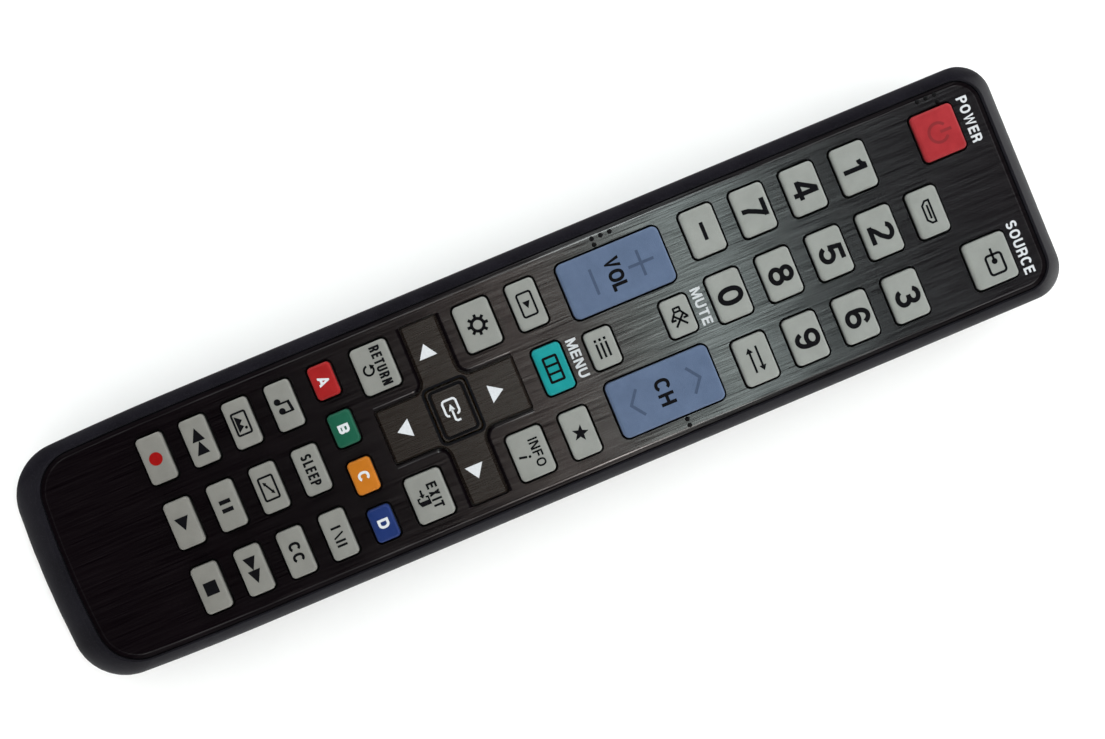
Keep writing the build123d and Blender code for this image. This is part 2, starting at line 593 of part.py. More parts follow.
# ---------------------------------------------------------------- direction cross
with BuildPart() as nav_cross:
    with BuildSketch(Plane.XY.offset(Z_ROCK0)):
        cross(NAV_X_HALF + NAV_FLANGE, NAV_Y_HALF + NAV_FLANGE, ARM_X_HALF + NAV_FLANGE, ARM_Y_HALF + NAV_FLANGE,
              NAV_CORNER - NAV_FLANGE, 0.6)
    extrude(amount=Z_ROCK1 - Z_ROCK0)
    with BuildSketch(Plane.XY.offset(Z_ROCK1)):
        cross(NAV_X_HALF, NAV_Y_HALF, ARM_X_HALF, ARM_Y_HALF, NAV_CORNER, 0.4)
    extrude(amount=Z_NAV_TOP - Z_ROCK1)
    with BuildSketch(Plane.XY.offset(Z_ROCK0 - 0.5)):
        with Locations((0, NAV_Y)):
            RectangleRounded(*NAV_HOLE)
    extrude(amount=5.0, mode=Mode.SUBTRACT)
    chamfer(nav_cross.faces().sort_by(Axis.Z)[-1].edges(), length=0.18)
save("nav_cross", nav_cross.part)

# thin rubber ring under the cross, the part of the keypad that lets it rock
with BuildPart() as nav_web:
    with BuildSketch(Plane.XY.offset(15.25)):
        with Locations((0, NAV_Y)):
            RectangleRounded(14.0, 11.0, 1.6)
            RectangleRounded(11.8, 9.2, 1.1, mode=Mode.SUBTRACT)
    extrude(amount=0.30)
save("nav_web", nav_web.part)

with BuildPart() as enter_key:
    with BuildSketch(Plane.XY.offset(16.30)):
        with Locations((0, NAV_Y)):
            RectangleRounded(*ENTER_RIM)
    extrude(amount=18.95 - 16.30)
    # raised lip round the step
    with BuildSketch(Plane.XY.offset(18.95)):
        with Locations((0, NAV_Y)):
            RectangleRounded(*ENTER_RIM)
            RectangleRounded(ENTER_RIM[0] - 0.64, ENTER_RIM[1] - 0.64, ENTER_RIM[2] - 0.32, mode=Mode.SUBTRACT)
    extrude(amount=0.25)
    with BuildSketch(Plane.XY.offset(18.6)):
        with Locations((0, NAV_Y)):
            RectangleRounded(ENTER_RIM[0] - 0.64, ENTER_RIM[1] - 0.64, ENTER_RIM[2] - 0.32)
    extrude(amount=1.0, mode=Mode.SUBTRACT)
    with BuildSketch(Plane.XY.offset(18.5)):
        with Locations((0, NAV_Y)):
            RectangleRounded(*ENTER_CAP)
    extrude(amount=19.65 - 18.5)
    fillet(enter_key.faces().sort_by(Axis.Z)[-1].edges(), radius=0.25)
    with BuildSketch(Plane.XY.offset(16.30)):
        with Locations((0, NAV_Y)):
            Circle(PILL_R)
    extrude(amount=-0.05)
save("enter_key", enter_key.part)

# ---------------------------------------------------------------- infrared window and emitter
with BuildPart() as ir_window:
    add(upper_outer.part)
    add(lower_outer.part)
    with BuildSketch(Plane.XZ.offset(-104.7)):
        with Locations((0, 10.6)):
            RectangleRounded(16.8, 7.0, 1.5)
    extrude(amount=-8.0, mode=Mode.INTERSECT)
    with BuildSketch(Plane.XZ.offset(-103.9)):
        with Locations((0, 10.6)):
            RectangleRounded(19.0, 8.0, 1.5)
    extrude(amount=-0.85)
save("ir_window", ir_window.part)

with BuildPart() as ir_emitter:
    with BuildSketch(Plane.XZ.offset(-95.5)):
        with Locations((0, 10.65)):
            Circle(2.5)
    extrude(amount=-5.5)
    with Locations((0, 101.0, 10.65)):
        Sphere(2.5)
    with BuildSketch(Plane.XZ.offset(-95.5)):
        with Locations((0, 10.65)):
            Circle(2.9)
    extrude(amount=-1.0)
    # two leads, back and then up into the board
    for x in (-1.27, 1.27):
        with BuildSketch(Plane.XZ.offset(-93.25)):
            with Locations((x, 10.65)):
                Rectangle(0.5, 0.5)
        extrude(amount=-2.5)
        with BuildSketch(Plane.XY.offset(10.4)):
            with Locations((x, 93.5)):
                Rectangle(0.5, 0.5)
        extrude(amount=14.9 - 10.4)
save("ir_emitter", ir_emitter.part)

# ---------------------------------------------------------------- parts on the board
with BuildPart() as control_chip:
    with BuildSketch(Plane.XY.offset(11.5)):
        with Locations((0, 58.0)):
            Rectangle(7.5, 12.8)
    extrude(amount=2.1)
    chamfer(control_chip.edges().filter_by(Axis.Z), length=0.3)
    for sx in (-1, 1):
        with BuildSketch(Plane.XY.offset(12.5)):
            with Locations((sx * 4.2, 58.0)):
                with GridLocations(1.0, 1.27, 1, 10):
                    Rectangle(1.1, 0.42)
        extrude(amount=0.25)
        with BuildSketch(Plane.XY.offset(12.5)):
            with Locations((sx * 4.65, 58.0)):
                with GridLocations(1.0, 1.27, 1, 10):
                    Rectangle(0.25, 0.42)
        extrude(amount=Z_BOARD0 - 0.02 - 12.5)
save("control_chip", control_chip.part)

with BuildPart() as capacitor:
    with BuildSketch(Plane.YZ.offset(-6.0)):
        with Locations((20.0, 10.4)):
            Circle(3.15)
    extrude(amount=11.0)
    fillet(capacitor.edges().filter_by(GeomType.CIRCLE), radius=0.4)
    with BuildSketch(Plane.YZ.offset(5.0)):
        with Locations((18.75, 10.4), (21.25, 10.4)):
            Circle(0.25)
    extrude(amount=1.5)
    with BuildSketch(Plane.XY.offset(10.25)):
        with Locations((6.5, 18.75), (6.5, 21.25)):
            Rectangle(0.5, 0.5)
    extrude(amount=Z_BOARD0 - 0.02 - 10.25)
save("capacitor", capacitor.part)

# ---------------------------------------------------------------- cells, springs, contacts
for name, x, way, y_tip in (("battery_left", -CELL_X, 1, BAY_Y1 - 0.55), ("battery_right", CELL_X, -1, BAY_Y0 + 0.55)):
    # lathe profile along the cell: nub, shoulder, can, rolled negative end
    with BuildPart() as cell:
        with BuildSketch(Plane.XY.offset(CELL_Z)):
            with BuildLine():
                Polyline(
                    (x, y_tip), (x + 1.7, y_tip), (x + 1.9, y_tip - way * 0.2), (x + 1.9, y_tip - way * 1.0),
                    (x + 4.6, y_tip - way * 1.0), (x + CELL_R, y_tip - way * 1.6),
                    (x + CELL_R, y_tip - way * (CELL_L - 0.5)), (x + CELL_R - 0.5, y_tip - way * CELL_L),
                    (x + 3.6, y_tip - way * CELL_L), (x + 3.4, y_tip - way * (CELL_L - 0.25)),
                    (x, y_tip - way * (CELL_L - 0.25)), (x, y_tip), close=False,
                )
            make_face()
        revolve(axis=Axis((x, y_tip, CELL_Z), (0, 1, 0)))
    save(name, cell.part)

# conical springs, wide on the contact plate and narrow on the cell's flat end
with BuildPart() as battery_springs:
    for x, y_base, way in ((-CELL_X, BAY_Y0 + 0.50, 1), (CELL_X, BAY_Y1 - 0.50, -1)):
        with BuildLine() as wire:
            Helix(pitch=1.45, height=6.0, radius=3.7, cone_angle=-15,
                  center=(x, y_base + way * 0.32, CELL_Z), direction=(0, way, 0))
        with BuildSketch(Plane(origin=wire.line @ 0, z_dir=wire.line % 0)):
            Circle(0.28)
        sweep(path=wire.line, is_frenet=True)
save("battery_springs", battery_springs.part)

with BuildPart() as battery_contacts:
    # bridge plate at the tail end, joining the two cells
    with BuildSketch(Plane.XZ.offset(-BAY_Y0 - 0.45)):
        with Locations((0, 7.6)):
            RectangleRounded(19.6, 8.4, 0.8)
    extrude(amount=0.40)
    # two plates at the head end, each with a leg up into the board
    for x in (-CELL_X, CELL_X):
        with BuildSketch(Plane.XZ.offset(-BAY_Y1 + 0.05)):
            with Locations((x, 7.6)):
                RectangleRounded(8.6, 8.4, 0.8)
            with Locations((x, 12.85)):
                Rectangle(2.0, 3.9)
        extrude(amount=0.40)
save("battery_contacts", battery_contacts.part)

# ---------------------------------------------------------------- screws
with BuildPart() as case_screws:
    for sx in (-1, 1):
        with BuildSketch(Plane.XY.offset(4.95)):
            with Locations((sx * SCREW_X, SCREW_Y)):
                Circle(1.95)
        extrude(amount=1.5)
        with BuildSketch(Plane.XY.offset(6.45)):
            with Locations((sx * SCREW_X, SCREW_Y)):
                Circle(1.1)
        extrude(amount=7.5)
        # cross recess
        with BuildSketch(Plane.XY.offset(4.95)):
            with Locations((sx * SCREW_X, SCREW_Y)):
                Rectangle(2.2, 0.5)
                Rectangle(0.5, 2.2)
        extrude(amount=0.9, mode=Mode.SUBTRACT)
save("case_screws", case_screws.part)
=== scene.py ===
import json
import math

import bmesh
import bpy
from mathutils import Matrix, Vector

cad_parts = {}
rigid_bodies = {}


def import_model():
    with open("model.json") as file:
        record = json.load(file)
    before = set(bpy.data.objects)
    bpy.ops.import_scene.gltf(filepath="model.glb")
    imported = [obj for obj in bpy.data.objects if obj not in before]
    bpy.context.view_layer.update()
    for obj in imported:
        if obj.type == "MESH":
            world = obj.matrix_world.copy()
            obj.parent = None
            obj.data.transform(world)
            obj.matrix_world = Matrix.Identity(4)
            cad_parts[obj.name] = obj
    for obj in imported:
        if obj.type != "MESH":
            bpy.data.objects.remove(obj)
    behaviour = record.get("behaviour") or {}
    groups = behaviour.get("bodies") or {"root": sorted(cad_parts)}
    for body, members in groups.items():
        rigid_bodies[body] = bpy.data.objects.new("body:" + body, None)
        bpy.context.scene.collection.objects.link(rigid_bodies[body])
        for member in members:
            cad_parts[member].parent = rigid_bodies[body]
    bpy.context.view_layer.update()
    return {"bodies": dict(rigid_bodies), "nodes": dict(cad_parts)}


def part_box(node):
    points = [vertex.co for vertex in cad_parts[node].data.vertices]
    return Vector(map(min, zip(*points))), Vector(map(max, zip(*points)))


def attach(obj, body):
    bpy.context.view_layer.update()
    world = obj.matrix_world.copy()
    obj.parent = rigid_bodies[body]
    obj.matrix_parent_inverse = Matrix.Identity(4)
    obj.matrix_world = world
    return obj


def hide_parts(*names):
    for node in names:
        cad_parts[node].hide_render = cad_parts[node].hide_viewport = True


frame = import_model()
MM = 0.001

# ------------------------------------------------------------------ sizes shared with the frame, in mm
PLATE_TOP = 19.0
KEY_TOP = 20.55
COL = 13.86
ROCKER_X, ROCKER_Y, ROCKER_W, ROCKER_H = 12.78, 21.77, 11.75, 21.90
ROCKER_END_TOP, ROCKER_MID_TOP = 20.70, 20.30
NAV_Y = -18.50
Z_NAV_TOP = 19.25


def node_mid(name):
    """Centre of a node seen from above, in mm."""
    lo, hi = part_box(name)
    return ((lo[0] + hi[0]) / 2 / MM, (lo[1] + hi[1]) / 2 / MM)


def node_cap(name, flange=0.70):
    """Width and height of a key's cap, in mm."""
    lo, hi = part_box(name)
    return ((hi[0] - lo[0]) / MM - 2 * flange, (hi[1] - lo[1]) / MM - 2 * flange)


# ------------------------------------------------------------------ materials
class Graph:
    """A short way to write a node material."""

    def __init__(self, name):
        self.mat = bpy.data.materials.new(name)
        self.mat.use_nodes = True
        self.nt = self.mat.node_tree
        self.bsdf = self.nt.nodes["Principled BSDF"]
        self.coord = self.new("ShaderNodeTexCoord").outputs["Object"]

    def new(self, kind, **props):
        node = self.nt.nodes.new(kind)
        for key, value in props.items():
            setattr(node, key, value)
        return node

    def link(self, a, b):
        self.nt.links.new(a, b)

    def mapped(self, scale, offset=(0, 0, 0)):
        node = self.new("ShaderNodeMapping")
        node.inputs["Scale"].default_value = scale
        node.inputs["Location"].default_value = offset
        self.link(self.coord, node.inputs["Vector"])
        return node.outputs["Vector"]

    def noise(self, vector, scale, detail=2.0, rough=0.5):
        node = self.new("ShaderNodeTexNoise")
        node.inputs["Scale"].default_value = scale
        node.inputs["Detail"].default_value = detail
        node.inputs["Roughness"].default_value = rough
        self.link(vector, node.inputs["Vector"])
        return node.outputs["Fac"]

    def remap(self, value, lo, hi, a=0.0, b=1.0):
        node = self.new("ShaderNodeMapRange")
        node.inputs["From Min"].default_value = lo
        node.inputs["From Max"].default_value = hi
        node.inputs["To Min"].default_value = a
        node.inputs["To Max"].default_value = b
        self.link(value, node.inputs["Value"])
        return node.outputs["Result"]

    def math(self, op, a, b=None):
        node = self.new("ShaderNodeMath", operation=op)
        for i, v in enumerate((a, b)):
            if v is None:
                continue
            if isinstance(v, (int, float)):
                node.inputs[i].default_value = v
            else:
                self.link(v, node.inputs[i])
        return node.outputs[0]

    def mix(self, fac, a, b, blend="MIX"):
        node = self.new("ShaderNodeMix", data_type="RGBA", blend_type=blend)
        for socket, v in ((node.inputs[0], fac), (node.inputs[6], a), (node.inputs[7], b)):
            if isinstance(v, (int, float)):
                socket.default_value = v
            elif isinstance(v, tuple):
                socket.default_value = (*v, 1.0) if len(v) == 3 else v
            else:
                self.link(v, socket)
        return node.outputs[2]

    def bump(self, height, distance, strength=1.0, after=None):
        node = self.new("ShaderNodeBump")
        node.inputs["Strength"].default_value = strength
        node.inputs["Distance"].default_value = distance
        self.link(height, node.inputs["Height"])
        if after is not None:
            self.link(after, node.inputs["Normal"])
        return node.outputs["Normal"]

    def set(self, **values):
        for key, v in values.items():
            socket = self.bsdf.inputs[key.replace("_", " ")]
            if isinstance(v, (int, float)):
                socket.default_value = v
            elif isinstance(v, tuple):
                socket.default_value = (*v, 1.0) if len(v) == 3 else v
            else:
                self.link(v, socket)
        return self


def rubber(name, color, rough=0.52, vary=0.10, grain=0.5, seed=0.0):
    """Moulded silicone: fine spark-eroded grain, faint clouding, a soft worn sheen, and painted shade on the walls
    below the plate.
    """
    g = Graph(name)
    v = g.mapped((1, 1, 1), (seed, seed * 0.7, 0))
    cloud = g.remap(g.noise(v, 260.0, 3.0, 0.6), 0.3, 0.7)
    speck = g.remap(g.noise(v, 5200.0, 2.0, 0.6), 0.35, 0.65)
    dark = tuple(c * (1 - vary) for c in color)
    light = tuple(min(1.0, c * (1 + vary) + 0.004) for c in color)
    tone = g.mix(cloud, dark, light)
    tone = g.mix(g.math("MULTIPLY", speck, 0.12), tone, tuple(min(1.0, c * 1.35 + 0.01) for c in color))
    split = g.new("ShaderNodeSeparateXYZ")
    g.link(g.coord, split.inputs["Vector"])
    # painted shade: below the plate's level the cap's walls turn nearly black, standing in for the shade deep in the
    # gap round each key
    tone = g.mix(g.remap(split.outputs["Z"], 0.01875, 0.01935), tuple(c * 0.05 for c in color), tone)
    # stands in for light that falls off and turns a little warmer towards the tail
    tone = g.mix(g.remap(split.outputs["Y"], 0.030, -0.080), tone, (0.71, 0.66, 0.64), "MULTIPLY")
    r = g.math("ADD", g.remap(cloud, 0, 1, -0.05, 0.05), g.remap(speck, 0, 1, rough - 0.05, rough + 0.06))
    n = g.bump(speck, 0.00002, grain)
    g.set(Base_Color=tone, Roughness=r, Normal=n, Specular_IOR_Level=0.11)
    g.bsdf.inputs["Sheen Weight"].default_value = 0.02
    g.bsdf.inputs["Sheen Roughness"].default_value = 0.5
    return g.mat


def grained(name, color, rough=0.5, coarse=3200.0, depth=0.00004, strength=0.55, spec=0.4, vary=0.25, uneven=False):
    """Moulded hard plastic with an even leather-like spark grain."""
    g = Graph(name)
    v = g.mapped((1, 1, 1))
    pits = g.noise(v, coarse, 3.0, 0.65)
    cloud = g.remap(g.noise(v, 140.0, 3.0, 0.55), 0.3, 0.7)
    tone = g.mix(cloud, tuple(c * (1 - vary) for c in color), tuple(c * (1 + vary) for c in color))
    sparkle = g.remap(pits, 0.52, 0.68)
    tone = g.mix(g.math("MULTIPLY", sparkle, 0.35), tone, tuple(c * 2.1 + 0.01 for c in color))
    r = g.remap(pits, 0.3, 0.7, rough - 0.07, rough + 0.08)
    if uneven:
        # stands in for more light from the head end and the right, and less from the left
        facing = g.new("ShaderNodeSeparateXYZ")
        g.link(g.new("ShaderNodeTexCoord").outputs["Normal"], facing.inputs["Vector"])
        shine = g.math("MULTIPLY", g.remap(facing.outputs["X"], -0.5, -0.1, 0.12, 1.0), g.remap(facing.outputs["X"], 0.1, 0.5, 1.0, 2.0))
        shine = g.math("MULTIPLY", shine, g.remap(facing.outputs["Y"], 0.1, 0.5, 1.0, 5.4))
        # upright walls match the lower shell, so that no step of tone shows at the seam
        upward = g.remap(facing.outputs["Z"], 0.0, 0.2)
        spec = g.math("ADD", g.math("MULTIPLY", g.math("MULTIPLY", shine, spec), upward),
                      g.math("MULTIPLY", g.math("SUBTRACT", 1.0, upward), 0.10))
    g.set(Base_Color=tone, Roughness=r, Normal=g.bump(pits, depth, strength), Specular_IOR_Level=spec)
    return g.mat


def brushed(name, dark, light, rough=(0.17, 0.22), metal=0.0, strength=0.06, fine=6400.0, spec=(0.06, 0.96), edge=0.0, painted_shade_sides=False):
    """Hairline-brushed lacquered plate; the hairs run along the remote's length."""
    g = Graph(name)
    hair = g.noise(g.mapped((fine, fine * 0.014, 60.0)), 1.0, 2.0, 0.6)
    long_hair = g.noise(g.mapped((fine * 0.6, fine * 0.007, 30.0), (3.1, 0.4, 0)), 1.0, 2.0, 0.6)
    patch = g.noise(g.mapped((1, 1, 1)), 55.0, 2.0, 0.5)
    facing = g.new("ShaderNodeSeparateXYZ")
    g.link(g.new("ShaderNodeTexCoord").outputs["Normal"], facing.inputs["Vector"])
    # painted shade: slopes and bevels that face the ends reflect less than those that face the sides, standing in for
    # how the light falls
    level = g.remap(g.math("ABSOLUTE", facing.outputs["Y"]), 0.04, 0.22, 1.0, 0.14)
    if edge:
        # painted highlight and shade: the specular is low at the foot of every slope and full at its upper edge, which
        # draws a thin light line along the edge
        place = g.new("ShaderNodeSeparateXYZ")
        g.link(g.coord, place.inputs["Vector"])
        level = g.math("MULTIPLY", level, g.remap(place.outputs["Z"], edge, edge + 0.00003, 0.14, 1.0))
        # painted shade: less reflection towards the tail, standing in for less light there
        level = g.math("MULTIPLY", level, g.remap(place.outputs["Y"], -0.075, -0.025, 0.50, 1.0))
    if painted_shade_sides:
        # painted shade: walls and chamfers reflect little, so that the outline of the cross reads dark
        level = g.math("MULTIPLY", level, g.remap(facing.outputs["Z"], 0.80, 0.95, 0.10, 1.0))
    h = g.math("ADD", g.math("MULTIPLY", hair, 0.68), g.math("MULTIPLY", long_hair, 0.32))
    lines = g.remap(h, 0.36, 0.64)
    tone = g.mix(lines, dark, light)
    tone = g.mix(g.remap(patch, 0.35, 0.65, 0.0, 0.22), tone, tuple(c * 0.62 for c in dark))
    g.set(
        Base_Color=tone,
        Roughness=g.remap(h, 0.3, 0.7, rough[0], rough[1]),
        Normal=g.bump(h, 0.000012, strength),
        Specular_IOR_Level=g.math("MULTIPLY", g.remap(h, 0.34, 0.66, spec[0], spec[1]), level),
    )
    g.bsdf.inputs["Metallic"].default_value = metal
    return g.mat


def ink(name, color, rough=0.45, vary=0.12):
    """Screen-printed legend: even film with slight mottling."""
    g = Graph(name)
    film = g.remap(g.noise(g.mapped((1, 1, 1)), 2600.0, 2.0, 0.5), 0.3, 0.7)
    tone = g.mix(film, tuple(c * (1 - vary) for c in color), color)
    g.set(Base_Color=tone, Roughness=g.remap(film, 0, 1, rough - 0.06, rough + 0.08), Normal=g.bump(film, 0.000008, 0.4),
          Specular_IOR_Level=0.05)
    return g.mat


def metal(name, color, rough=0.3, scratch=0.3):
    g = Graph(name)
    n = g.noise(g.mapped((1, 1, 1)), 1800.0, 3.0, 0.6)
    tone = g.mix(g.remap(n, 0.35, 0.65), tuple(c * 0.8 for c in color), color)
    g.set(Base_Color=tone, Roughness=g.remap(n, 0.3, 0.7, rough - 0.08, rough + 0.12), Normal=g.bump(n, 0.00001, scratch))
    g.bsdf.inputs["Metallic"].default_value = 1.0
    return g.mat


GREY = (0.190, 0.200, 0.188)
MAT = {
    "grey": rubber("key_silicone_grey", GREY, 0.5, 0.06),
    "power": rubber("key_silicone_power_red", (0.236, 0.013, 0.017), 0.46, 0.10, seed=1.0),
    "teal": rubber("key_silicone_teal", (0.001, 0.192, 0.198), 0.46, 0.10, seed=2.0),
    "slate": rubber("key_silicone_slate_blue", (0.065, 0.094, 0.156), 0.5, 0.07, seed=3.0),
    "red": rubber("key_silicone_red", (0.251, 0.0048, 0.0056), 0.45, 0.10, seed=4.0),
    "green": rubber("key_silicone_green", (0.002, 0.0732, 0.0403), 0.45, 0.10, seed=5.0),
    "amber": rubber("key_silicone_amber", (0.405, 0.131, 0.0055), 0.45, 0.08, seed=6.0),
    "blue": rubber("key_silicone_blue", (0.0045, 0.0204, 0.112), 0.45, 0.10, seed=7.0),
    "plate": brushed("faceplate_hairline", (0.0014, 0.0007, 0.0012), (0.0034, 0.0020, 0.0028), edge=0.01890),
    "cross": brushed("cross_satin", (0.0070, 0.0046, 0.0034), (0.0112, 0.0078, 0.0059), (0.25, 0.30), 0.0, 0.1, 8000.0, (0.26, 0.46), painted_shade_sides=True),
    "upper": grained("upper_shell_grain", (0.0054, 0.0050, 0.0070), 0.60, spec=0.04, uneven=True),
    "lower": grained("lower_shell_grain", (0.0068, 0.0065, 0.0082), 0.58, 2300.0, 0.00006, 0.6, 0.10),
    "window": grained("window_polished", (0.016, 0.003, 0.004), 0.12, 900.0, 0.000004, 0.1, 0.6),
    "white": ink("legend_white", (0.49, 0.51, 0.53)),
    "black": ink("legend_black", (0.0022, 0.0022, 0.0032), 0.5, 0.3),
    "redink": ink("legend_red", (0.20, 0.0035, 0.0035)),
    # painted shade: a darker slate for the rocker's moulded marks, standing in for the shading of the moulded strokes
    "slate_groove_shade": ink("groove_shade_slate_dark", (0.044, 0.063, 0.106), 0.55),
    "bump": grained("tactile_dot_black", (0.0018, 0.0018, 0.0022), 0.5, 2500.0, 0.00001, 0.3, 0.06),
    # the mat is a real dark part; its near-black colour is partly painted shade, so that the gaps round the keys read
    # dark
    "mat": rubber("mat_silicone_dark_and_gap_shade", (0.004, 0.004, 0.0045), 0.6, 0.15),
    "board": grained("board_laminate", (0.13, 0.085, 0.028), 0.45, 1500.0, 0.00002, 0.3),
    "chip": grained("chip_epoxy", (0.012, 0.012, 0.013), 0.55, 2200.0, 0.00003, 0.5),
    "sleeve": grained("capacitor_sleeve", (0.012, 0.014, 0.03), 0.25, 800.0, 0.00001, 0.2),
    "epoxy": grained("emitter_epoxy", (0.16, 0.19, 0.30), 0.08, 600.0, 0.00001, 0.1, 0.6),
    "cell": metal("cell_wrap", (0.30, 0.22, 0.12), 0.32),
    "spring": metal("spring_nickel", (0.62, 0.61, 0.58), 0.24),
    "strip": metal("contact_nickel", (0.60, 0.59, 0.56), 0.28),
    "screw": metal("screw_zinc", (0.42, 0.42, 0.41), 0.33),
}


# ------------------------------------------------------------------ mesh helpers
def finish_mesh(name, bm, mat, body, smooth=30.0):
    bmesh.ops.recalc_face_normals(bm, faces=bm.faces[:])
    for v in bm.verts:
        v.co *= MM
    mesh = bpy.data.meshes.new(name)
    bm.to_mesh(mesh)
    bm.free()
    mesh.materials.append(MAT[mat])
    obj = bpy.data.objects.new(name, mesh)
    bpy.context.scene.collection.objects.link(obj)
    if smooth:
        for poly in mesh.polygons:
            poly.use_smooth = True
        mesh.set_sharp_from_angle(angle=math.radians(smooth))
    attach(obj, body)
    return obj


def round_rect(cx, cy, w, h, r, seg=6):
    """Corner-rounded rectangle as a list of (x, y), anticlockwise."""
    r = max(1e-4, min(r, w / 2 - 1e-4, h / 2 - 1e-4))
    pts = []
    for sx, sy, a0 in ((1, 1, 0), (-1, 1, 90), (-1, -1, 180), (1, -1, 270)):
        ox, oy = cx + sx * (w / 2 - r), cy + sy * (h / 2 - r)
        for i in range(seg + 1):
            a = math.radians(a0 + 90 * i / seg)
            pts.append((ox + r * math.cos(a), oy + r * math.sin(a)))
    return pts


def skin(bm, rings, cap=True):
    """Quads between rings of equal length, and a face on the last one."""
    loops = [[bm.verts.new(p) for p in ring] for ring in rings]
    for a, b in zip(loops, loops[1:]):
        for i in range(len(a)):
            j = (i + 1) % len(a)
            bm.faces.new((a[i], a[j], b[j], b[i]))
    if cap:
        bm.faces.new(loops[-1])
        bm.faces.new(list(reversed(loops[0])))
    return loops


def key_mesh(node, mat, edge=0.62, corner=0.95, crown=0.05):
    """A silicone cap: slightly drafted walls, a full rounded top edge and a barely crowned top."""
    x, y = node_mid(node)
    w, h = node_cap(node)
    lo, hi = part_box(node)
    top = KEY_TOP
    rings = []
    z0 = 16.46
    for z, grow in ((z0, 0.66), (z0 + 0.42, 0.66), (z0 + 0.44, 0.02), (17.6, 0.0), (18.9, -0.03)):
        rings.append([(px, py, z) for px, py in round_rect(x, y, w + 2 * grow, h + 2 * grow, corner + grow)])
    steps = 9
    for i in range(steps + 1):
        a = math.radians(90.0 * i / steps)
        inset = 0.05 + edge * (1 - math.cos(a))
        z = top - crown - edge * (1 - math.sin(a))
        r = corner - inset * 0.55
        rings.append([(px, py, z) for px, py in round_rect(x, y, w - 2 * inset, h - 2 * inset, max(r, 0.25))])
    for k, rise in ((0.25, 0.35), (0.55, 0.7), (0.9, 0.92), (1.3, 1.0)):
        inset = 0.05 + edge + k
        r = max(corner - inset * 0.55, 0.2)
        rings.append([(px, py, top - crown * (1 - rise)) for px, py in round_rect(x, y, w - 2 * inset, h - 2 * inset, r)])
    bm = bmesh.new()
    skin(bm, rings)
    obj = finish_mesh("cap_" + node, bm, mat, node)
    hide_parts(node)
    return obj


def extrude_down(bm, faces, depth):
    """Gives flat faces a skirt, so that a printed mark is a closed thin film."""
    got = bmesh.ops.extrude_face_region(bm, geom=faces)
    for v in [e for e in got["geom"] if isinstance(e, bmesh.types.BMVert)]:
        v.co.z += depth


def draw(items, ox, oy):
    """A bmesh of flat marks in the z = 0 plane. Each item is a tuple whose first word says what it is."""
    bm = bmesh.new()
    for item in items:
        kind = item[0]
        if kind == "poly":
            bm.faces.new([bm.verts.new((ox + px, oy + py, 0)) for px, py in item[1]])
        elif kind == "disc":
            _, cx, cy, r = item[:4]
            bm.faces.new([
                bm.verts.new((ox + cx + r * math.cos(math.tau * i / 40), oy + cy + r * math.sin(math.tau * i / 40), 0))
                for i in range(40)
            ])
        elif kind == "line":
            _, pts, width = item[:3]
            closed = len(item) > 3 and item[3]
            strip(bm, [(ox + px, oy + py) for px, py in pts], width, closed)
        elif kind == "arc":
            _, cx, cy, r, a0, a1, width = item
            n = max(6, int(abs(a1 - a0) / 7))
            pts = [
                (ox + cx + r * math.cos(math.radians(a0 + (a1 - a0) * i / n)), oy + cy + r * math.sin(math.radians(a0 + (a1 - a0) * i / n)))
                for i in range(n + 1)
            ]
            strip(bm, pts, width, False)
        elif kind == "text":
            _, word, cx, cy, w, h, t = item[:7]
            add_word(bm, word, ox + cx, oy + cy, w, h, t, *item[7:])
    return bm


def strip(bm, pts, width, closed, z=0.0):
    """A line of constant width with mitred corners."""
    n = len(pts)
    left, right = [], []
    for i in range(n):
        p = Vector(pts[i])
        before = Vector(pts[i - 1]) if (i > 0 or closed) else None
        after = Vector(pts[(i + 1) % n]) if (i < n - 1 or closed) else None
        d1 = (p - before).normalized() if before is not None else (after - p).normalized()
        d2 = (after - p).normalized() if after is not None else d1
        t = d1 + d2
        t = t.normalized() if t.length > 1e-6 else d1
        normal = Vector((-t.y, t.x))
        stretch = 1.0 / max(0.45, abs(normal.dot(Vector((-d1.y, d1.x)))))
        left.append(p + normal * width / 2 * stretch)
        right.append(p - normal * width / 2 * stretch)
    lv = [bm.verts.new((q.x, q.y, z)) for q in left]
    rv = [bm.verts.new((q.x, q.y, z)) for q in right]
    for i in range(n if closed else n - 1):
        j = (i + 1) % n
        bm.faces.new((rv[i], rv[j], lv[j], lv[i]))


def bend(cx, cy, rx, ry, a0, a1, power=2.0, n=None):
    """Points along an ellipse from a0 to a1 degrees; a power over 2 squares its shoulders."""
    n = n or max(6, int(abs(a1 - a0) / 9))
    pts = []
    for i in range(n + 1):
        a = math.radians(a0 + (a1 - a0) * i / n)
        c, d = math.cos(a), math.sin(a)
        pts.append((cx + rx * math.copysign(abs(c) ** (2 / power), c), cy + ry * math.copysign(abs(d) ** (2 / power), d)))
    return pts


WIDTHS = {
    "P": 0.66, "O": 0.78, "W": 1.05, "E": 0.62, "R": 0.70, "S": 0.66, "U": 0.72, "C": 0.73, "M": 0.86, "T": 0.62, "N": 0.72,
    "V": 0.72, "L": 0.56, "H": 0.72, "I": 0.20, "F": 0.60, "X": 0.70, "A": 0.76, "B": 0.70, "D": 0.72,
}


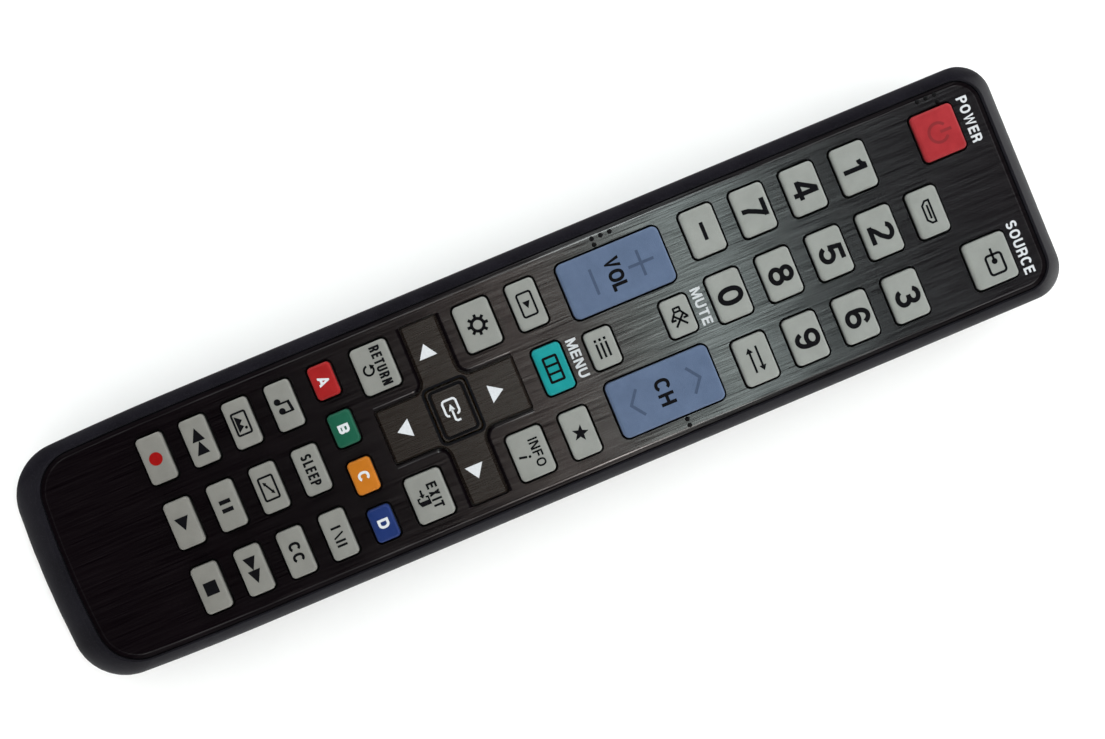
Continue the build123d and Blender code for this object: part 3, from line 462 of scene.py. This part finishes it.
def glyph(c, w, h, t):
    """One upright sans character of stroke t in a box w by h: a list of (points, closed) centre lines."""
    L, R, B, T = t / 2, w - t / 2, t / 2, h - t / 2
    m = h * 0.5
    mid = w / 2
    rx = (R - L) / 2
    over = t
    if c == "I":
        return [([(mid, 0), (mid, h)], False)]
    if c == "L":
        return [([(L, 0), (L, h)], False), ([(0, B), (w, B)], False)]
    if c == "T":
        return [([(mid, 0), (mid, h)], False), ([(0, T), (w, T)], False)]
    if c == "H":
        return [([(L, 0), (L, h)], False), ([(R, 0), (R, h)], False), ([(0, m), (w, m)], False)]
    if c in "EF":
        rows = [(T, w), (m + 0.02 * h, w * 0.92)] + ([(B, w)] if c == "E" else [])
        return [([(L, 0), (L, h)], False)] + [([(0, y), (x, y)], False) for y, x in rows]
    if c == "N":
        return [([(L, 0), (L, h)], False), ([(R, 0), (R, h)], False), ([(L * 0.6, h + over), (R + L * 0.4, -over)], False)]
    if c == "M":
        return [([(L, 0), (L, h)], False), ([(R, 0), (R, h)], False),
                ([(L * 0.9, h + over * 0.4), (mid, h * 0.10), (w - L * 0.9, h + over * 0.4)], False)]
    if c == "V":
        return [([(L * 0.9, h + over), (mid, t * 0.35), (w - L * 0.9, h + over)], False)]
    if c == "W":
        q = w * 0.27
        return [([(L * 0.8, h + over), (q, t * 0.35), (mid, h - t * 0.3), (w - q, t * 0.35), (w - L * 0.8, h + over)], False)]
    if c == "X":
        return [([(L * 1.1, -over), (w - L * 1.1, h + over)], False), ([(L * 1.1, h + over), (w - L * 1.1, -over)], False)]
    if c == "A":
        return [([(L * 0.9, -over), (mid, h - t * 0.35), (w - L * 0.9, -over)], False), ([(w * 0.24, h * 0.27), (w * 0.76, h * 0.27)], False)]
    if c == "U":
        return [([(L, h)] + bend(mid, B + rx, rx, rx, 180, 360, 2.3) + [(R, h)], False)]
    if c == "O":
        return [(bend(mid, m, rx, (T - B) / 2, 0, 351, 2.35, 39), True)]
    if c == "C":
        return [(bend(mid, m, rx, (T - B) / 2, 38, 322, 2.35, 32), False)]
    if c == "D":
        r = (T - B) / 2
        return [([(L, 0), (L, h)], False), ([(0, T), (R - rx, T)] + bend(R - rx, m, rx, r, 84, -84, 2.2, 18) + [(R - rx, B), (0, B)], False)]
    if c in "PRB":
        low = h * 0.46
        r = (T - low) / 2
        out = [([(L, 0), (L, h)], False), ([(0, T), (R - r, T)] + bend(R - r, low + r, r, r, 80, -80, 2.1, 12) + [(R - r, low), (0, low)], False)]
        if c == "R":
            out.append(([(R - r * 1.15, low)] + bend(R - r * 1.1, low - r * 0.8, r * 0.95, r * 0.8, 80, 0, 2.0, 6) + [(R - r * 0.1, -0.0)], False))
        if c == "B":
            rb = (low - B) / 2
            out.append(([(R - rb, low)] + bend(R - rb + t * 0.06, B + rb, rb, rb, 80, -80, 2.1, 12) + [(R - rb, B), (0, B)], False))
        return out
    if c == "S":
        ru = (T - B) / 4
        return [(bend(mid, T - ru, rx, ru, 22, 262, 2.15, 20) + bend(mid, B + ru, rx, ru, 82, -158, 2.15, 20), False)]
    if c == "0":
        return [(bend(mid, m, rx, (T - B) / 2, 0, 351, 2.25, 39), True)]
    if c == "1":
        return [([(w * 0.66, 0), (w * 0.66, h)], False), ([(0, h * 0.735), (w * 0.22, h * 0.75), (w * 0.42, h * 0.82), (w * 0.60, h * 1.02)], False)]
    if c == "2":
        ry = (h * 0.56 - t) / 2
        return [(bend(mid, T - ry, rx, ry, 172, -28, 2.0, 20) + [(mid + rx * 0.30, h * 0.43), (mid - rx * 0.45, h * 0.27), (L + t * 0.10, B + t * 0.15), (L, -over)], False),
                ([(0, B), (w, B)], False)]
    if c == "3":
        ru, rb = (T - B) * 0.235, (T - B) * 0.265
        return [(bend(mid * 0.97, T - ru, rx * 0.90, ru, 168, -84, 2.05, 20) + [(mid * 0.80, T - 2 * ru)], False),
                ([(mid * 0.80, B + 2 * rb)] + bend(mid, B + rb, rx, rb, 84, -168, 2.05, 22), False)]
    if c == "4":
        return [([(w * 0.70, 0), (w * 0.70, h)], False), ([(0, h * 0.27), (w, h * 0.27)], False), ([(w * 0.70, h + t * 0.2), (L * 0.75, h * 0.27)], False)]
    if c == "5":
        rb = (h * 0.655 - t) / 2
        return [([(w * 0.16, T), (w * 0.94, T)], False), ([(w * 0.245, h), (w * 0.15, h * 0.44)], False),
                (bend(mid, B + rb, rx, rb, 142, -164, 2.05, 26), False)]
    if c in "69":
        rb = (h * 0.625 - t) / 2
        out = [(bend(mid, B + rb, rx, rb, 0, 351, 2.05, 39), True),
               (bend(mid, m, rx, (T - B) / 2, 30, 180, 2.15, 18) + [(L, B + rb)], False)]
        if c == "9":
            out = [([(w - x, h - y) for x, y in pts], closed) for pts, closed in out]
        return out
    if c == "7":
        return [([(0, T), (w, T)], False), ([(R + t * 0.05, h), (R * 0.98, T * 0.97), (w * 0.62, h * 0.55), (w * 0.44, h * 0.25), (w * 0.37, -over)], False)]
    if c == "8":
        ru, rb = (T - B) * 0.235, (T - B) * 0.265
        return [(bend(mid, T - ru, rx * 0.88, ru, 0, 351, 2.0, 39), True), (bend(mid, B + rb, rx, rb, 0, 351, 2.0, 39), True)]
    raise ValueError("no glyph for " + c)


def add_word(bm, word, cx, cy, w, h, t, gap=0.17, wide=()):
    """Upright sans capitals or digits, fitted to a box w by h round (cx, cy), with strokes t wide."""
    gap = gap * h if len(word) > 1 else 0.0
    widths = [(wide[i] if wide else WIDTHS.get(c, 0.74)) * h for i, c in enumerate(word)]
    if len(word) > 1:
        fixed = sum(t for c in word if c == "I")
        k = (w - gap * (len(word) - 1) - fixed) / sum(v for v, c in zip(widths, word) if c != "I")
        widths = [t if c == "I" else v * k for v, c in zip(widths, word)]
    else:
        widths = [w]
    own = bmesh.new()
    x = cx - w / 2
    for i, (c, cw) in enumerate(zip(word, widths)):
        for j, (pts, closed) in enumerate(glyph(c, cw, h, t)):
            strip(own, [(x + px, cy - h / 2 + py) for px, py in pts], t, closed, 0.0007 * j)
        x += cw + gap
    for y, up in ((cy - h / 2, -1), (cy + h / 2, 1)):
        bmesh.ops.bisect_plane(own, geom=own.verts[:] + own.edges[:] + own.faces[:], plane_co=(0, y, 0), plane_no=(0, up, 0), clear_outer=True)
    mesh = bpy.data.meshes.new("word")
    own.to_mesh(mesh)
    own.free()
    bm.from_mesh(mesh)
    bpy.data.meshes.remove(mesh)


def legend(name, items, ox, oy, mat, body, height, lift=0.018, sink=0.03):
    """A printed mark on a surface whose height over the back is height(x, y), in mm."""
    bm = draw(items, ox, oy)
    faces = bm.faces[:]
    extrude_down(bm, faces, 1.0)
    for v in bm.verts:
        step = v.co.z % 0.5
        v.co.z = height(v.co.x, v.co.y) + (lift + step if v.co.z > 0.5 else -sink)
    return finish_mesh("legend_" + name, bm, mat, body, smooth=0)


def flat(z):
    return lambda x, y: z


def rocker_height(x, y):
    k = (ROCKER_END_TOP - ROCKER_MID_TOP) / (ROCKER_H / 2) ** 2
    return ROCKER_MID_TOP + k * (y - ROCKER_Y) ** 2


def rocker_mesh(node, cx):
    """A rocker's cap: rounded edge all round, top hollowed along its length."""
    w, h, corner, edge = ROCKER_W, ROCKER_H, 1.3, 0.62
    rings = []
    for z, grow in ((15.81, 0.62), (16.14, 0.62), (16.16, 0.02), (17.8, 0.0)):
        rings.append([(px, py, z) for px, py in dense_rect(cx, ROCKER_Y, w + 2 * grow, h + 2 * grow, corner + grow)])
    for i in range(10):
        a = math.radians(10.0 * i)
        inset = edge * (1 - math.cos(a))
        rings.append([
            (px, py, rocker_height(px, py) - edge * (1 - math.sin(a)) - 0.002)
            for px, py in dense_rect(cx, ROCKER_Y, w - 2 * inset, h - 2 * inset, corner - inset * 0.6)
        ])
    for k in (0.4, 1.0, 1.9, 2.9, 3.9, 4.7):
        inset = edge + k
        rings.append([(px, py, rocker_height(px, py)) for px, py in dense_rect(cx, ROCKER_Y, w - 2 * inset, h - 2 * inset, 0.4)])
    bm = bmesh.new()
    loops = [[bm.verts.new(p) for p in ring] for ring in rings]
    for a, b in zip(loops, loops[1:]):
        for i in range(len(a)):
            j = (i + 1) % len(a)
            bm.faces.new((a[i], a[j], b[j], b[i]))
    bm.faces.new(list(reversed(loops[0])))
    # close the middle with a ladder of quads between the two long sides
    ladder(bm, loops[-1])
    obj = finish_mesh("cap_" + node, bm, "slate", node, 40)
    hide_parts(node)
    return obj


def dense_rect(cx, cy, w, h, r, seg=6, nx=6, ny=26):
    """Corner-rounded rectangle with points along its straight sides too."""
    r = max(0.05, min(r, w / 2 - 1e-3, h / 2 - 1e-3))
    pts = []
    corners = ((1, 1, 0), (-1, 1, 90), (-1, -1, 180), (1, -1, 270))
    for k, (sx, sy, a0) in enumerate(corners):
        ox, oy = cx + sx * (w / 2 - r), cy + sy * (h / 2 - r)
        for i in range(seg + 1):
            a = math.radians(a0 + 90 * i / seg)
            pts.append((ox + r * math.cos(a), oy + r * math.sin(a)))
        n = nx if k % 2 == 0 else ny
        nxt = corners[(k + 1) % 4]
        qx, qy = cx + nxt[0] * (w / 2 - r), cy + nxt[1] * (h / 2 - r)
        a = math.radians(a0 + 90)
        x0, y0 = pts[-1]
        x1, y1 = qx + r * math.cos(a), qy + r * math.sin(a)
        for i in range(1, n):
            pts.append((x0 + (x1 - x0) * i / n, y0 + (y1 - y0) * i / n))
    return pts


def ladder(bm, loop):
    """Fills a dense_rect ring: its top and bottom edges as caps, and rungs between its sides."""
    n = len(loop)
    top = max(range(n), key=lambda k: (round(loop[k].co.y, 4), loop[k].co.x))
    order = loop[top:] + loop[:top]
    a, b = 0, n - 1
    while b - a > 2:
        bm.faces.new((order[a], order[a + 1], order[b - 1], order[b]))
        a += 1
        b -= 1
    if b - a == 2:
        bm.faces.new((order[a], order[a + 1], order[b]))


def groove(name, items, ox, oy, body):
    """A moulded mark on a rocker: a low ridge in the key's own rubber whose darker top is painted shade, standing in
    for the shading of the moulded stroke.
    """
    return legend(name, items, ox, oy, "slate_groove_shade", body, rocker_height, lift=0.012)


# ------------------------------------------------------------------ marks, in mm from the key's centre
def tri(cx, cy, w, h, way):
    """A triangle that points right (0), up (90), left (180) or down (270)."""
    a = math.radians(way)
    pts = [(-h / 2, -w / 2), (h / 2, 0), (-h / 2, w / 2)]
    return ("poly", [(cx + px * math.cos(a) - py * math.sin(a), cy + px * math.sin(a) + py * math.cos(a)) for px, py in pts])


def box_line(cx, cy, w, h, r, width):
    return ("line", round_rect(cx, cy, w, h, r, 4), width, True)


def bar(cx, cy, w, h):
    return ("poly", [(cx - w / 2, cy - h / 2), (cx + w / 2, cy - h / 2), (cx + w / 2, cy + h / 2), (cx - w / 2, cy + h / 2)])


DIGIT = 0.96
MARKS = {
    "source_key": [box_line(0.95, 0.6, 4.0, 3.3, 0.6, 0.50), ("line", [(-2.4, 0.55), (0.2, 0.55)], 0.50), ("disc", 0.35, 0.55, 0.60)],
    "av_input_key": [
        ("line", [(-2.3, 0.75), (2.3, 0.75), (2.3, -0.1), (1.5, -0.85), (-1.5, -0.85), (-2.3, -0.1)], 0.42, True),
        bar(0, 0.08, 2.9, 0.42),
    ],
    "digit_1_key": [("text", "1", 0.0, 0.08, 2.47, 4.98, DIGIT)],
    "digit_2_key": [("text", "2", 0.2, 0.13, 3.72, 5.13, DIGIT)],
    "digit_3_key": [("text", "3", 0.2, 0.13, 3.72, 5.23, DIGIT)],
    "digit_4_key": [("text", "4", 0.1, 0.13, 3.87, 5.13, DIGIT)],
    "digit_5_key": [("text", "5", 0.2, 0.13, 3.72, 5.13, DIGIT)],
    "digit_6_key": [("text", "6", 0.2, 0.13, 3.72, 5.23, DIGIT)],
    "digit_7_key": [("text", "7", 0.1, 0.13, 3.62, 5.08, DIGIT)],
    "digit_8_key": [("text", "8", 0.2, 0.13, 3.72, 5.23, DIGIT)],
    "digit_9_key": [("text", "9", 0.2, 0.13, 3.72, 5.23, DIGIT)],
    "dash_key": [bar(0.1, 0.1, 3.7, 0.78)],
    "digit_0_key": [("text", "0", 0.15, 0.13, 3.76, 5.25, 1.03)],
    "previous_channel_key": [
        ("line", [(-2.6, 0.8), (1.6, 0.8)], 0.44), tri(2.1, 0.8, 1.5, 1.15, 0),
        ("line", [(2.6, -0.8), (-1.6, -0.8)], 0.44), tri(-2.1, -0.8, 1.5, 1.15, 180),
    ],
    "mute_key": [
        box_line(-1.40, 0.0, 0.80, 1.30, 0.08, 0.42),
        ("line", [(-0.85, 0.72), (0.55, 1.70)], 0.42), ("line", [(-0.85, -0.72), (0.55, -1.70)], 0.42),
        ("line", [(0.55, 1.80), (0.55, 0.75)], 0.44), ("line", [(0.55, -1.80), (0.55, -0.75)], 0.44),
        ("line", [(-0.55, 1.20), (1.95, -1.20)], 0.44), ("line", [(-0.55, -1.20), (1.95, 1.20)], 0.44),
    ],
    "channel_list_key": [x for y in (1.0, 0.0, -1.0) for x in (bar(-1.8, y, 0.56, 0.5), bar(0.4, y, 3.1, 0.46))],
    "media_key": [box_line(0, 0.05, 4.8, 2.9, 0.4, 0.42), tri(0.1, 0.05, 1.6, 1.5, 0)],
    "menu_key": [box_line(0, 0.0, 5.0, 2.7, 0.15, 0.52), bar(-0.83, 0.0, 0.50, 2.4), bar(0.83, 0.0, 0.50, 2.4)],
    "favourite_key": [
        ("poly", [
            (1.75 * (1 if i % 2 == 0 else 0.42) * math.cos(math.radians(90 + 36 * i)), 0.0 + 1.75 * (1 if i % 2 == 0 else 0.42) * math.sin(math.radians(90 + 36 * i)))
            for i in range(10)
        ])
    ],
    "tools_key": [("arc", 0, 0.1, 1.25, 0, 360, 0.62)]
    + [("line", [(1.35 * math.cos(a), 0.1 + 1.35 * math.sin(a)), (2.15 * math.cos(a), 0.1 + 2.15 * math.sin(a))], 0.62)
       for a in [math.radians(45 * i) for i in range(8)]],
    "info_key": [("text", "INFO", 0.12, 1.3, 5.9, 2.0, 0.36), ("line", [(0.28, -0.95), (-0.08, -2.55)], 0.46), ("disc", 0.42, -0.42, 0.28)],
    "return_key": [("text", "RETURN", 0.0, 1.2, 8.1, 2.1, 0.42), ("arc", 0.1, -1.4, 0.98, 130, -170, 0.42), tri(-0.62, -0.72, 1.15, 0.95, 210)],
    "exit_key": [
        ("text", "EXIT", 0.1, 1.2, 5.3, 2.1, 0.44),
        ("line", [(-1.85, -1.3), (-0.8, -1.3)], 0.44), tri(-0.45, -1.3, 1.15, 0.75, 0),
        ("poly", [(0.45, -2.6), (1.45, -2.1), (1.45, 0.05), (0.45, -0.45)]),
        ("line", [(0.5, -2.35), (-0.2, -2.35), (-0.2, -1.85)], 0.34), ("line", [(-0.2, -0.75), (-0.2, -0.25), (1.2, -0.2)], 0.34),
    ],
    "sound_mode_key": [
        ("disc", -1.05, -1.0, 0.66), ("disc", 0.95, -0.7, 0.66), ("line", [(-0.58, -0.95), (-0.58, 1.15)], 0.38),
        ("line", [(1.42, -0.65), (1.42, 1.45)], 0.38), ("line", [(-0.76, 1.05), (1.60, 1.38)], 0.6),
    ],
    "sleep_key": [("text", "SLEEP", 0.0, 0.0, 6.5, 2.2, 0.44)],
    "audio_track_key": [("text", "I", -1.5, 0, 0.46, 2.1, 0.46), ("line", [(0.62, -1.05), (-0.35, 1.05)], 0.36),
                        ("line", [(1.3, -1.05), (1.3, 1.05)], 0.46), ("line", [(2.2, -1.05), (2.2, 1.05)], 0.46)],
    "picture_mode_key": [box_line(0, 0, 4.5, 2.8, 0.3, 0.42), ("poly", [(-1.7, -1.0), (-0.6, 0.35), (0.1, -0.35), (0.7, 0.3), (1.7, -1.0)]), ("disc", 1.1, 0.62, 0.3)],
    "picture_size_key": [
        box_line(0, 0, 4.7, 2.9, 0.3, 0.42), ("line", [(-0.9, -0.5), (0.9, 0.5)], 0.38),
        ("poly", [(1.45, 0.85), (0.55, 0.75), (1.05, 0.1)]), ("poly", [(-1.45, -0.85), (-0.55, -0.75), (-1.05, -0.1)]),
    ],
    "captions_key": [("text", "CC", 0.0, 0.1, 4.2, 2.35, 0.54)],
    "rewind_key": [tri(-1.36, 0.0, 2.6, 2.75, 180), tri(1.36, 0.0, 2.6, 2.75, 180)],
    "pause_key": [bar(-0.85, 0.0, 0.85, 2.3), bar(0.85, 0.0, 0.85, 2.3)],
    "fast_forward_key": [tri(-1.36, 0.0, 2.6, 2.75, 0), tri(1.36, 0.0, 2.6, 2.75, 0)],
    "record_key": [("disc", 0, -0.05, 1.34)],
    "play_key": [tri(0.05, -0.05, 2.9, 2.75, 0)],
    "stop_key": [bar(0, 0.05, 2.7, 2.65)],
    "red_key_a": [("text", "A", 0, 0.05, 2.2815, 2.257, 0.52)],
    "green_key_b": [("text", "B", 0, 0.05, 1.8135, 2.257, 0.52)],
    "yellow_key_c": [("text", "C", 0, 0.05, 1.9889999999999999, 2.318, 0.52)],
    "blue_key_d": [("text", "D", 0, 0.05, 1.9304999999999999, 2.257, 0.52)],
}
COLOUR = {"power_key": "power", "menu_key": "teal", "red_key_a": "red", "green_key_b": "green", "yellow_key_c": "amber", "blue_key_d": "blue"}
INK = {"record_key": "redink", "red_key_a": "white", "green_key_b": "white", "yellow_key_c": "white", "blue_key_d": "white"}

bodies = list(frame["bodies"])
push_keys = [b for b in bodies if b.endswith("_key") or b in ("red_key_a", "green_key_b", "yellow_key_c", "blue_key_d")]
push_keys = [b for b in push_keys if b != "enter_key"]
for name in push_keys:
    small = node_cap(name)[1] < 6.1
    key_mesh(name, COLOUR.get(name, "grey"), edge=0.55 if small else 0.62, corner=0.9 if small else 1.0)
    if name in MARKS:
        x, y = node_mid(name)
        legend(name, MARKS[name], x, y, INK.get(name, "black"), name, flat(KEY_TOP))

# standby mark on the power key: an open ring and a bar, a shade darker than the cap
x, y = node_mid("power_key")
MAT["power_dark"] = rubber("key_silicone_power_mark", (0.150, 0.010, 0.013), 0.55, 0.10, seed=8.0)
legend("power_key", [("arc", 0, -0.1, 1.95, 125, 415, 0.62), ("line", [(0, 0.25), (0, 2.65)], 0.62)], x, y, "power_dark", "power_key",
       flat(KEY_TOP), lift=0.006)

# rockers: words and moulded marks follow the hollow of the top
ROCKER_MARKS = {
    "volume_rocker": [[("line", [(-2.7, 5.36), (2.7, 5.36)], 0.60)], [("line", [(0.0, 2.66), (0.0, 8.06)], 0.60)], [("line", [(-2.7, -4.72), (2.7, -4.72)], 0.60)]],
    "channel_rocker": [[("line", [(-2.75, 5.45), (0.0, 7.5), (2.75, 5.45)], 0.6)], [("line", [(-2.75, -5.3), (0.0, -7.35), (2.75, -5.3)], 0.6)]],
}
for name, sx, word, w, gap, wide in (("volume_rocker", -1, "VOL", 6.9, 0.05, (1.0, 1.0, 0.62)), ("channel_rocker", 1, "CH", 5.5, 0.14, (1.0, 0.98))):
    rocker_mesh(name, sx * ROCKER_X)
    legend(name, [("text", word, 0.0, -0.1, w, 3.2, 0.68, gap, wide)], sx * ROCKER_X, ROCKER_Y, "black", name, rocker_height)
    for i, items in enumerate(ROCKER_MARKS[name]):
        groove(f"{name}_mark_{i}", items, sx * ROCKER_X, ROCKER_Y, name)

# words printed on the faceplate
for name, word, cx, cy, w, h in (
    ("power_word", "POWER", -14.0, 99.45, 9.6, 2.2),
    ("source_word", "SOURCE", 13.75, 99.2, 11.2, 2.25),
    ("mute_word", "MUTE", -0.1, 35.15, 7.7, 2.15),
    ("menu_word", "MENU", -0.1, 8.25, 8.1, 2.15),
):
    legend(name, [("text", word, 0, 0, w, h, 0.43)], cx, cy, "white", "case", flat(PLATE_TOP))

# direction marks
for name, cx, cy, way in (("up", -0.15, 9.3, 90), ("down", -0.2, -10.6, 270), ("left", -13.1, -0.55, 180), ("right", 13.0, -0.6, 0)):
    legend("nav_" + name, [tri(cx, cy, 3.75, 2.85, way)], 0, NAV_Y, "white", "nav_cross", flat(Z_NAV_TOP))
legend("enter", [
    ("line", [(0.9, 0.75), (0.9, 0.95), (0.75, 1.25), (0.4, 1.4), (-1.7, 1.4), (-2.1, 1.2), (-2.25, 0.9), (-2.25, -0.9),
              (-2.1, -1.25), (-1.7, -1.42), (0.4, -1.42), (0.75, -1.27), (0.9, -0.95), (0.9, -0.8)], 0.44),
    ("line", [(2.25, 1.05), (2.25, 0.35), (1.95, 0.02), (-0.2, 0.02)], 0.42), tri(-0.65, 0.02, 1.3, 1.3, 180),
], -0.15, NAV_Y - 0.3, "white", "enter_key", flat(19.65))

# painted shade: black films standing in for the shade in the groove between the middle key's rim and its cap, and in
# the gap round the cross's hole
legend("enter_gap_shade", [box_line(0, 0, 9.62, 6.97, 0.80, 0.68)], 0.0, NAV_Y, "black", "enter_key", flat(19.2))
legend("hole_gap_shade", [box_line(0, 0, 11.84, 9.34, 1.28, 0.48)], 0.0, NAV_Y, "black", "nav_cross", flat(Z_NAV_TOP - 0.16), lift=0.17)

# tactile dots, black, on the plate beside power and the rockers
DOTS = [
    (-21.2, 94.75), (-21.2, 92.85), (-21.2, 90.95), (-19.7, 94.75),
    (-20.95, 23.82), (-20.95, 21.90), (-20.95, 19.98), (-19.65, 19.98),
    (19.65, 23.85), (20.95, 23.85),
]
bm = bmesh.new()
for dx, dy in DOTS:
    rings = []
    for i in range(7):
        a = math.radians(15 * i)
        rad = 0.50 * math.cos(a)
        rings.append([(dx + rad * math.cos(math.tau * k / 20), dy + rad * math.sin(math.tau * k / 20), PLATE_TOP - 0.02 + 0.30 * math.sin(a)) for k in range(20)])
    rings = rings[:-1] + [[(dx + 0.02 * math.cos(math.tau * k / 20), dy + 0.02 * math.sin(math.tau * k / 20), PLATE_TOP + 0.28) for k in range(20)]]
    skin(bm, rings)
finish_mesh("tactile_dots", bm, "bump", "case", 60)

# ------------------------------------------------------------------ finishes of the frame's own parts
FINISH = {
    "faceplate": "plate", "upper_case": "upper", "lower_case": "lower", "battery_door": "lower", "nav_cross": "cross",
    "enter_key": "cross", "nav_web": "mat", "keypad_mat": "mat", "circuit_board": "board", "control_chip": "chip",
    "capacitor": "sleeve", "ir_emitter": "epoxy", "ir_window": "window", "battery_left": "cell", "battery_right": "cell",
    "battery_springs": "spring", "battery_contacts": "strip", "case_screws": "screw",
}
for node, mat in FINISH.items():
    data = frame["nodes"][node].data
    data.materials.clear()
    data.materials.append(MAT[mat])

# ------------------------------------------------------------------ floor, light, camera
floor_mat = Graph("floor_paper")
paper = floor_mat.noise(floor_mat.mapped((1, 1, 1)), 60.0, 3.0, 0.5)
floor_mat.set(Base_Color=floor_mat.mix(paper, (0.92, 0.92, 0.92), (0.95, 0.95, 0.95)), Roughness=0.8)
MAT["floor"] = floor_mat.mat
bm = bmesh.new()
bmesh.ops.create_grid(bm, x_segments=2, y_segments=2, size=6000.0)
for v in bm.verts:
    v.co *= MM
mesh = bpy.data.meshes.new("floor")
bm.to_mesh(mesh)
bm.free()
mesh.materials.append(MAT["floor"])
floor = bpy.data.objects.new("floor", mesh)
bpy.context.scene.collection.objects.link(floor)
floor.location.z = -0.0002

world = bpy.data.worlds.new("studio")
world.use_nodes = True
# pale round the horizon, nearly dark overhead
sky = world.node_tree
direction = sky.nodes.new("ShaderNodeTexCoord").outputs["Generated"]
height = sky.nodes.new("ShaderNodeSeparateXYZ")
sky.links.new(direction, height.inputs["Vector"])
fade = sky.nodes.new("ShaderNodeMapRange")
fade.interpolation_type = "SMOOTHSTEP"
fade.inputs["From Min"].default_value = 0.58
fade.inputs["From Max"].default_value = 0.82
fade.inputs["To Min"].default_value = 1.75
fade.inputs["To Max"].default_value = 0.03
sky.links.new(height.outputs["Z"], fade.inputs["Value"])
sky.links.new(fade.outputs["Result"], sky.nodes["Background"].inputs["Strength"])
sky.nodes["Background"].inputs["Color"].default_value = (1.0, 1.0, 1.0, 1.0)
bpy.context.scene.world = world


def area(name, pos, target, size, energy, color=(1, 1, 1)):
    light = bpy.data.lights.new(name, "AREA")
    light.shape = "RECTANGLE"
    light.size, light.size_y = size
    light.energy = energy
    light.color = color
    obj = bpy.data.objects.new(name, light)
    bpy.context.scene.collection.objects.link(obj)
    obj.location = pos
    obj.rotation_euler = (Vector(target) - Vector(pos)).to_track_quat("-Z", "Y").to_euler()
    return obj


# a cool panel overhead whose reflection lies across the plate above the rockers, a fainter one toward the head,
# and a weak warm one over the cross
area("panel_cool", (0.03, 0.148, 0.90), (0.03, 0.055, 0.0), (2.2, 0.055), 4.0, (0.84, 1.0, 0.98))
area("panel_head", (0.03, 0.310, 0.90), (0.03, 0.080, 0.0), (1.0, 0.240), 0.15, (0.94, 0.90, 1.0))
area("panel_warm", (0.03, 0.040, 0.90), (0.03, 0.0, 0.0), (2.2, 0.085), 0.98, (1.0, 0.76, 0.66))
# big soft lights low at the sides and ends, outside the reflections in the plate and its bevel
area("side_left", (-1.35, 0.12, 0.56), (0, 0.12, 0.35), (2.0, 0.85), 8.5)
area("side_right", (1.35, 0.08, 0.56), (0, 0.08, 0.35), (2.0, 0.85), 7.0)
# narrow strips that draw a thin light line on the plate's long bevels and the keys' edges
area("strip_left", (-0.80, 0.115, 0.90), (-0.02, 0.03, 0.02), (0.05, 0.39), 1.15, (0.95, 1.0, 1.0))
area("strip_right", (0.91, 0.095, 0.90), (0.02, 0.03, 0.02), (0.05, 0.42), 1.25, (1.0, 0.88, 0.82))
area("end_head", (0.0, 1.50, 0.54), (0, 0, 0.35), (1.8, 0.80), 14.0)

camera = bpy.data.cameras.new("camera")
camera.lens = 60.90
camera.sensor_width = 36.0
camera.clip_start = 0.01
cam = bpy.data.objects.new("camera", camera)
bpy.context.scene.collection.objects.link(cam)
turn = Vector([math.radians(a) for a in (1.94, -1.85, -0.08)])
rot = Matrix.Rotation(turn.length, 4, turn.normalized()) @ Matrix.Rotation(math.radians(67.4), 4, "Z")
cam.matrix_world = Matrix.Translation((-0.01194, -0.00985, 0.3912)) @ rot
bpy.context.scene.camera = cam
bpy.context.scene.view_settings.view_transform = "Standard"
